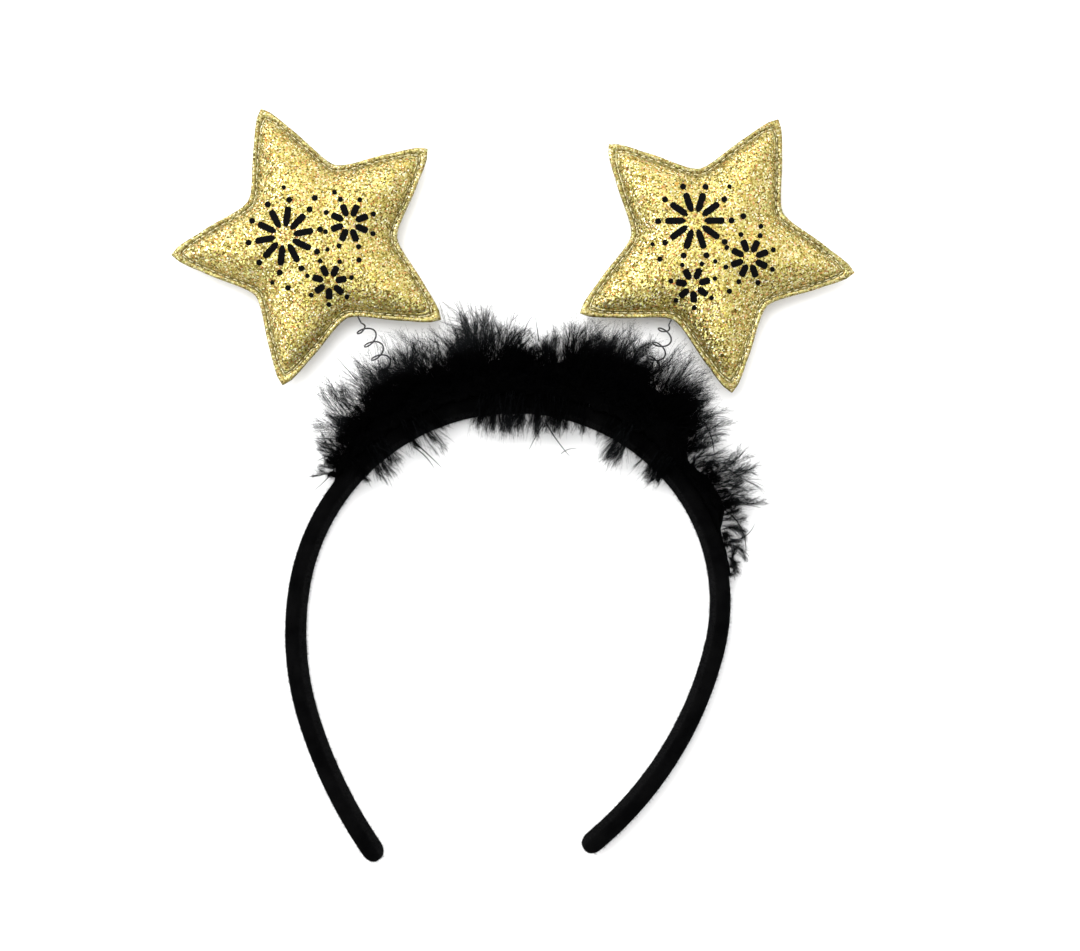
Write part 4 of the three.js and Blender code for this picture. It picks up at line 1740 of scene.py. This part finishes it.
    def spread_plumes(self, random: np.random.Generator) -> Rows:
        """Draw the plumes that make the thick fluff.

        Args:
            random: Source of differences.

        Returns:
            Place, angle in degrees, reach and lean of each.
        """
        plume = self.plume
        count, pull = plume.count, plume.clump_pull
        grid = np.linspace(FULLNESS[0].at, FULLNESS[-1].at, plume.chances)
        weight = self.column("crowd", grid) * np.sqrt(self.column("out", grid))
        s = np.interp(random.random(count), np.cumsum(weight) / weight.sum(), grid)
        degrees = random.triangular(*plume.rise, count)
        clump_s = random.uniform(grid[0], grid[-1], plume.clumps)
        clump_degrees = random.uniform(*plume.clump_rise, plume.clumps)
        clump_lean = random.normal(0, 1, plume.clumps)
        clump_gain = random.uniform(*plume.clump_gain, plume.clumps)
        turn = (degrees[:, None] - clump_degrees) * plume.degree_weight
        clump = np.argmin((s[:, None] - clump_s) ** 2 + turn**2, axis=1)
        degrees = degrees * (1 - pull) + clump_degrees[clump] * pull
        s = s + (clump_s[clump] - s) * pull / 2
        start = self.column("dense", s) * plume.dense_start
        share = random.random(count) ** plume.skew * clump_gain[clump]
        reach = start + (self.column("out", s) - start) * share
        lean = random.normal(0, 1, count) * (1 - pull) + clump_lean[clump] * pull
        return s, degrees, reach, lean * plume.lean * np.minimum(reach, plume.lean_reach)

    def tuft_rows(self, tufts: tuple[Tuft, ...]) -> Rows:
        """Place, reach and lean of each plume of some tufts."""
        rows = np.array([(tuft.at, tuft.out, tuft.lean) for tuft in tufts])
        return tuple(np.repeat(rows, [tuft.count for tuft in tufts], axis=0).T)

    def tuft_plumes(self, random: np.random.Generator) -> Rows:
        """Draw the plumes in the tufts.

        Args:
            random: Source of differences.

        Returns:
            Place, angle in degrees, reach and lean of each.
        """
        plume = self.plume
        at, out, lean = self.tuft_rows(TUFTS)
        s = at - lean / 2 + random.normal(0, plume.tuft_stray, len(at))
        reach = out * random.uniform(*plume.tuft_reach, len(at))
        degrees = random.normal(*plume.tuft_rise, len(at))
        return s, degrees, reach, lean + random.normal(0, plume.tuft_lean_stray, len(at))

    def outer_lines(self, random: np.random.Generator) -> Rows:
        """Draw the plumes that stand out of the core.

        Args:
            random: Source of differences.

        Returns:
            Root, bend and tip of each.
        """
        plume = self.plume
        pairs = zip(self.spread_plumes(random), self.tuft_plumes(random))
        s, degrees, reach, lean = (np.concatenate(pair) for pair in pairs)
        count = len(s)
        height = self.height_at(s)
        middle = height * plume.spine_up
        spine = np.clip(self.column("dense", s) * plume.spine_share, *plume.spine_out)
        cos, sin = np.cos(np.radians(degrees)), np.sin(np.radians(degrees))
        tip_o = spine + np.where(cos > 0, np.maximum(reach - spine, 2), spine + 1) * cos
        upward = np.where(sin > 0, height - middle, middle)
        tip_z = middle + upward * sin * random.uniform(*plume.tip_rise, count)
        root_o = spine + random.normal(0, plume.spine_stray, count)
        root = np.stack([s, root_o, middle], axis=1)
        tip = np.stack([s + lean, tip_o, tip_z], axis=1)
        bend = (root + tip) / 2
        bend[:, 0] -= lean * plume.bend_lean
        bend += random.normal(0, plume.bend_stray, (count, 3)) * reach[:, None]
        bend[:, 2] += plume.bend_rise * height
        return root, bend, tip

    def inner_lines(self, random: np.random.Generator) -> Rows:
        """Draw the plumes that arch over the band.

        Args:
            random: Source of differences.

        Returns:
            Root, bend and tip of each.
        """
        plume = self.plume
        s, out, lean = self.tuft_rows(INNER_TUFTS)
        count = len(s)
        s = s + random.normal(0, plume.inner_stray, count)
        lean = lean + random.normal(0, plume.tuft_stray, count)
        reach = out * random.uniform(*plume.inner_reach, count)
        each = np.ones(count)
        root_out, root_up = plume.inner_root
        root = np.stack([s, each * root_out, self.height_at(s) * root_up], axis=1)
        top = self.sizes.band.top
        tip = np.stack([s + lean, -reach, random.uniform(*plume.inner_rise, count) * top], axis=1)
        share, over, rise = plume.inner_bend
        bend = np.stack([s + lean * share, each * over, each * (top * rise)], axis=1)
        return root, bend + random.normal(0, plume.inner_bend_stray, (count, 3)), tip

    def strips(self, lines: np.ndarray, across: np.ndarray, widths: np.ndarray) -> Rows:
        """Make a narrow tapered ribbon along each line.

        Args:
            lines: Strand, point, coordinate, in metres.
            across: Way across each strand.
            widths: Width at each point, in metres; the last point is the ribbon's tip.

        Returns:
            Places, faces of four and faces of three, for all ribbons.
        """
        count, points, _ = lines.shape
        half = across[:, None, :] * widths[None, :-1, None] / 2
        body = np.stack([lines[:, :-1] - half, lines[:, :-1] + half], axis=2)
        flat = np.concatenate([body.reshape(count, -1, 3), lines[:, -1:]], axis=1)
        per = flat.shape[1]
        rows = 2 * np.arange(points - 2)
        one = np.stack([rows, rows + 1, rows + 3, rows + 2], axis=-1)
        start = (np.arange(count) * per)[:, None, None]
        quads = (one[None] + start).reshape(-1, 4)
        tris = (np.array([[per - 3, per - 2, per - 1]])[None] + start).reshape(-1, 3)
        return flat.reshape(-1, 3), quads, tris

    def plumes(self, lines: Rows, random: np.random.Generator) -> list[Rows]:
        """Grow barbs and barbules on the quills.

        Args:
            lines: Root, bend and tip of each quill, along, out of and over the hoop.
            random: Source of differences.

        Returns:
            For quills, barbs and barbules: places, faces of four, faces of three and tones.
        """
        plume = self.plume
        root, bend, tip = lines
        count = len(root)
        each = (count, plume.barbs)
        length = np.linalg.norm(tip - root, axis=1)
        axis = unit(tip - root)
        side = unit(np.cross(axis, random.normal(0, 1, (count, 3))))
        other = np.cross(axis, side)
        wild = 1 + 2 * np.clip((root[:, 0] - plume.wild_from) / plume.wild_over, 0, 1)
        curl = random.normal(0, plume.curl, count) * length * wild

        def quill(t: np.ndarray) -> np.ndarray:
            """Follow every quill.

            Args:
                t: Shares of its length.

            Returns:
                Points: quill, share, coordinate.
            """
            t = np.broadcast_to(t, (count, t.shape[-1]))[..., None]
            made = root[:, None] * (1 - t) ** 2 + bend[:, None] * 2 * t * (1 - t)
            made = made + tip[:, None] * t**2
            late = np.clip(t - plume.curl_from, 0, 1) ** 2
            return made + other[:, None] * late * curl[:, None, None]

        steps = np.linspace(0, 1, plume.quill_points)[None]
        quill_line = self.to_frame(self.rest_on(quill(steps), random))
        half = plume.barbs // 2
        shares = np.tile(np.linspace(*plume.barb_places, half), 2)[None]
        shares = shares + random.uniform(-plume.barb_jitter, plume.barb_jitter, each)
        hand = np.repeat([1.0, -1.0], half)[None, :, None]
        start = quill(shares)
        ahead = unit(quill(shares + plume.barb_step) - quill(shares - plume.barb_step))
        spread = np.radians(plume.barb_spread * (1 - 0.5 * shares))
        spread = (spread * random.uniform(*plume.barb_spreads, each))[..., None]
        stray = random.normal(0, plume.barb_stray, (*each, 3))
        way = unit(ahead * np.cos(spread) + side[:, None] * hand * np.sin(spread) + stray)
        size = length[:, None] * (1.06 - shares) * random.uniform(*plume.barb_lengths, each)
        size = np.clip(size, *plume.barb_limits)[:, :, None, None]
        whole, own = plume.barb_bow_strays
        bow = random.normal(0, whole, (count, 1, 3)) + random.normal(0, own, way.shape)
        bow = bow + (ahead - way) * plume.barb_bow

        def barb(u: np.ndarray) -> np.ndarray:
            """Follow every barb.

            Args:
                u: Shares of its length.

            Returns:
                Points: quill, barb, share, coordinate.
            """
            u = u[..., None]
            straight = start[:, :, None] + way[:, :, None] * size * u
            return straight + bow[:, :, None] * size * u**2

        u = np.linspace(0, 1, plume.barb_points)[None, None]
        barb_line = self.rest_on(barb(u), random).reshape(-1, plume.barb_points, 3)
        barb_tones = random.uniform(*plume.barb_tones, len(barb_line))
        # painted glow: barbs out in the thin fluff are lightened
        barb_tones *= self.painted_glow(barb_line[:, -1])
        jitter = random.random((*each, plume.barbules))
        at = (np.arange(plume.barbules) + jitter) / plume.barbules
        foot = barb(at)
        along = unit(way)[:, :, None]
        fluff = unit(np.cross(along, random.normal(0, 1, foot.shape)))
        fluff = unit(fluff + along * random.uniform(*plume.barbule_ahead, at.shape)[..., None])
        reach = plume.barbule_length * random.uniform(*plume.barbule_lengths, at.shape)
        end = foot + fluff * (reach * (1.1 - 0.5 * at))[..., None]
        barbule_line = self.rest_on(np.stack([foot, end], axis=-2), random).reshape(-1, 2, 3)
        barbule_tones = random.uniform(*plume.barbule_tones, len(barbule_line))
        # painted glow: barbules out in the thin fluff are lightened
        barbule_tones *= self.painted_glow(barbule_line[:, -1])
        quill_tones = random.uniform(*plume.quill_tones, count)
        groups = []
        for line, width, tones in (
            (quill_line, plume.quill_width, quill_tones),
            (self.to_frame(barb_line), plume.barb_width, barb_tones),
            (self.to_frame(barbule_line), plume.barbule_width, barbule_tones),
        ):
            keep = self.clear_of_stars(line)
            line, tones = line[keep], tones[keep]
            across = np.cross(line[:, -1] - line[:, 0], random.normal(0, 1, (len(line), 3)))
            taper = np.linspace(1, plume.taper, line.shape[1]) * width * MM
            places, quads, tris = self.strips(line, unit(across), taper)
            groups.append((places, quads, tris, np.repeat(tones, len(places) // len(line))))
        return groups

    def bare_quills(self, random: np.random.Generator) -> Rows:
        """Make the stiff quills that stand out.

        Args:
            random: Source of differences.

        Returns:
            Places, faces of four, faces of three and tones.
        """
        plume = self.plume
        share = np.linspace(0, 1, plume.quill_points)[:, None]
        lines = []
        for quill in BARE_QUILLS:
            start, end = np.array(quill.start), np.array(quill.end)
            aside = np.array([start[1] - end[1], end[0] - start[0]])
            flat = start * (1 - share) + end * share
            flat = flat + aside * random.normal(0, plume.bare_bow) * 4 * share * (1 - share)
            height = quill.height * (1 - plume.bare_drop * share)
            lines.append(np.column_stack([flat, height]) * MM)
        lines = np.array(lines)
        across = unit(np.cross(lines[:, -1] - lines[:, 0], UP))
        across = across * np.array([[quill.width] for quill in BARE_QUILLS])
        taper = np.linspace(1, plume.bare_taper, plume.quill_points) * MM
        places, quads, tris = self.strips(lines, across, taper)
        return places, quads, tris, np.full(len(places), plume.bare_tone)

    def join(self, name: str, groups: list[Rows], finish: Material) -> None:
        """Join groups of strands into one piece and dress it.

        Args:
            name: The piece's name.
            groups: Places, faces of four, faces of three and tones of each group.
            finish: The down.
        """
        places, quads, tris, tones = zip(*groups)
        starts = np.cumsum([0, *map(len, places)])
        faces = [
            np.concatenate([rows + start for rows, start in zip(kind, starts)])
            for kind in (quads, tris)
        ]
        piece = self.toned(name, np.concatenate(places), faces, np.concatenate(tones))
        dress(piece, finish)

    def build(self, finish: Material) -> None:
        """Make and dress the core and the plumes in sections.

        Args:
            finish: The down.
        """
        core = self.core()
        close_up(core)
        smooth(core, 80)
        dress(core, finish)
        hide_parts("feather_trim")
        random = np.random.default_rng(self.plume.seed)
        outer = self.outer_lines(random)
        inner = self.inner_lines(random)
        lines = [np.concatenate(pair) for pair in zip(outer, inner)]
        order = np.argsort(lines[0][:, 0])
        for number, chosen in enumerate(np.array_split(order, self.plume.sections), start=1):
            groups = self.plumes(tuple(line[chosen] for line in lines), random)
            self.join(f"plumes_{number}", groups, finish)
        self.join("bare_quills", [self.bare_quills(random)], finish)


@dataclass(frozen=True)
class SoftBox:
    """A square soft light, in metres and watts."""

    name: str
    place: tuple[float, float, float]
    size: float
    power: float


@dataclass(frozen=True)
class Studio:
    """Floor, lights, sky and camera, in metres; the photo's scale is in pixels a millimetre."""

    floor_size: float = 8.0
    floor_drop: float = 0.00005
    sky: float = 1.75
    sky_way: tuple[float, float, float] = (-0.14, 0.79, 0.6)
    sky_stops: Stops = ((0.26, (0.14,) * 3), (0.55, (0.86,) * 3), (0.85, (1.0,) * 3))
    lights: tuple[SoftBox, ...] = (
        SoftBox("light_top", (-0.25, 0.7, 1.4), 1.0, 16.0),
        SoftBox("light_side", (-1.1, 0.35, 1.1), 0.8, 5.0),
    )
    centre: tuple[float, float, float] = (0.0085, 0.003, 0.005)
    distance: float = 0.9
    sensor: float = 36.0
    photo_width: int = 1080
    photo_scale: float = 3.18

    def floor(self) -> None:
        """Make the floor."""
        deselect_all()
        bpy.ops.mesh.primitive_plane_add(size=self.floor_size, location=(0, 0, -self.floor_drop))
        piece = new_primitive("studio_floor")
        edit(piece, everything=True)
        bpy.ops.mesh.subdivide(number_cuts=3)
        deselect_all()
        piece.data.materials.append(FLOOR.build())

    def soft_lights(self) -> None:
        """Hang the soft lights."""
        for box in self.lights:
            light = bpy.data.lights.new(box.name, "AREA")
            light.shape = "SQUARE"
            light.size = box.size
            light.energy = box.power
            lamp = bpy.data.objects.new(box.name, light)
            place = Vector(box.place)
            aim = (Vector(self.centre) - place).to_track_quat("-Z", "Y").to_matrix().to_4x4()
            lamp.matrix_world = Matrix.Translation(place) @ aim
            bpy.context.scene.collection.objects.link(lamp)

    def soft_sky(self) -> None:
        """Set a pale sky that is brighter over the stars."""
        desk = NodeDesk(bpy.data.worlds.new("studio"), "Background")
        ways = {0: desk.node("TexCoord").outputs["Generated"], 1: self.sky_way}
        toward = desk.node("VectorMath", ways, operation="DOT_PRODUCT").outputs["Value"]
        share = desk.node("MapRange", {"From Min": -1, "Value": toward}).outputs["Result"]
        sky = {"Color": desk.ramp(share, self.sky_stops), "Strength": self.sky}
        desk.feed(desk.main, sky)
        bpy.context.scene.world = desk.owner

    def camera(self) -> None:
        """Hang the camera straight over the headband."""
        lens = bpy.data.cameras.new("camera")
        lens.sensor_width = self.sensor
        lens.lens = self.sensor * self.distance / (self.photo_width / self.photo_scale * MM)
        eye = bpy.data.objects.new("camera", lens)
        eye.location = Vector(self.centre) + Vector((0, 0, self.distance))
        bpy.context.scene.collection.objects.link(eye)
        bpy.context.scene.camera = eye

    def build(self) -> None:
        """Set up the studio."""
        self.floor()
        self.soft_lights()
        self.soft_sky()
        self.camera()
        bpy.context.scene.view_settings.view_transform = "Standard"


@dataclass(frozen=True)
class Headband:
    """The headband with all its parts."""

    sizes: Sizes = Sizes()
    star_fill: float = 0.8

    def build_stars(self, centres: dict[Side, np.ndarray]) -> None:
        """Model the star once, and place a copy of each of its pieces on both springs.

        Args:
            centres: Middle of each star in the frame, in millimetres.
        """
        cloth, edge, thread, ink = (
            finish.build() for finish in (GlitterFinish(), GLITTER_EDGE, THREAD, INK)
        )
        maker = PaddedStar(self.sizes.star)
        body, flange, stitches = maker.body(), maker.flange(), maker.stitches()
        patterns = [body, flange, stitches]
        for stand in STANDS:
            side = stand.side.value
            turn = stand.first_tip(self.sizes.star)
            drawing = FireworkPrint().build(body, math.radians(stand.print_turn) - turn)
            patterns.append(drawing)
            for pattern, ending, finish in (
                (body, "", cloth),
                (flange, "_flange", edge),
                (stitches, "_stitches", thread),
                (drawing, "_print", ink),
            ):
                piece = place_copy(pattern, f"star_{side}{ending}", turn, centres[stand.side])
                dress(piece, finish)
                if pattern is body:
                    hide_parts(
                        f"star_{side}_front", f"star_{side}_back", f"star_{side}_wadding"
                    )
        for pattern in patterns:
            bpy.data.objects.remove(pattern)

    def build(self) -> None:
        """Build every part in order."""
        sizes = self.sizes
        shift = frame_shift(sizes)
        log.info("crown at %.3f, %.3f mm", shift[0], shift[1])
        Band(sizes, shift).build(VELVET.build())
        wire = WIRE.build()
        centres = {}
        for stand in STANDS:
            solved = stand.solve(sizes)
            centres[stand.side] = solved["centre"] + shift
            WireSpring(sizes.spring, stand.side, solved, shift).build(wire)
        self.build_stars(centres)
        stars = [(centres[stand.side], stand.first_tip(sizes.star)) for stand in STANDS]
        FeatherTrim(sizes, shift, stars).build(DownFinish().build())


def main() -> None:
    """Build the studio and the headband."""
    logging.basicConfig(level=logging.INFO, format="%(message)s")
    Studio().build()
    Headband().build()
    deselect_all()
    bpy.context.view_layer.update()


if __name__ == "__main__":
    main()
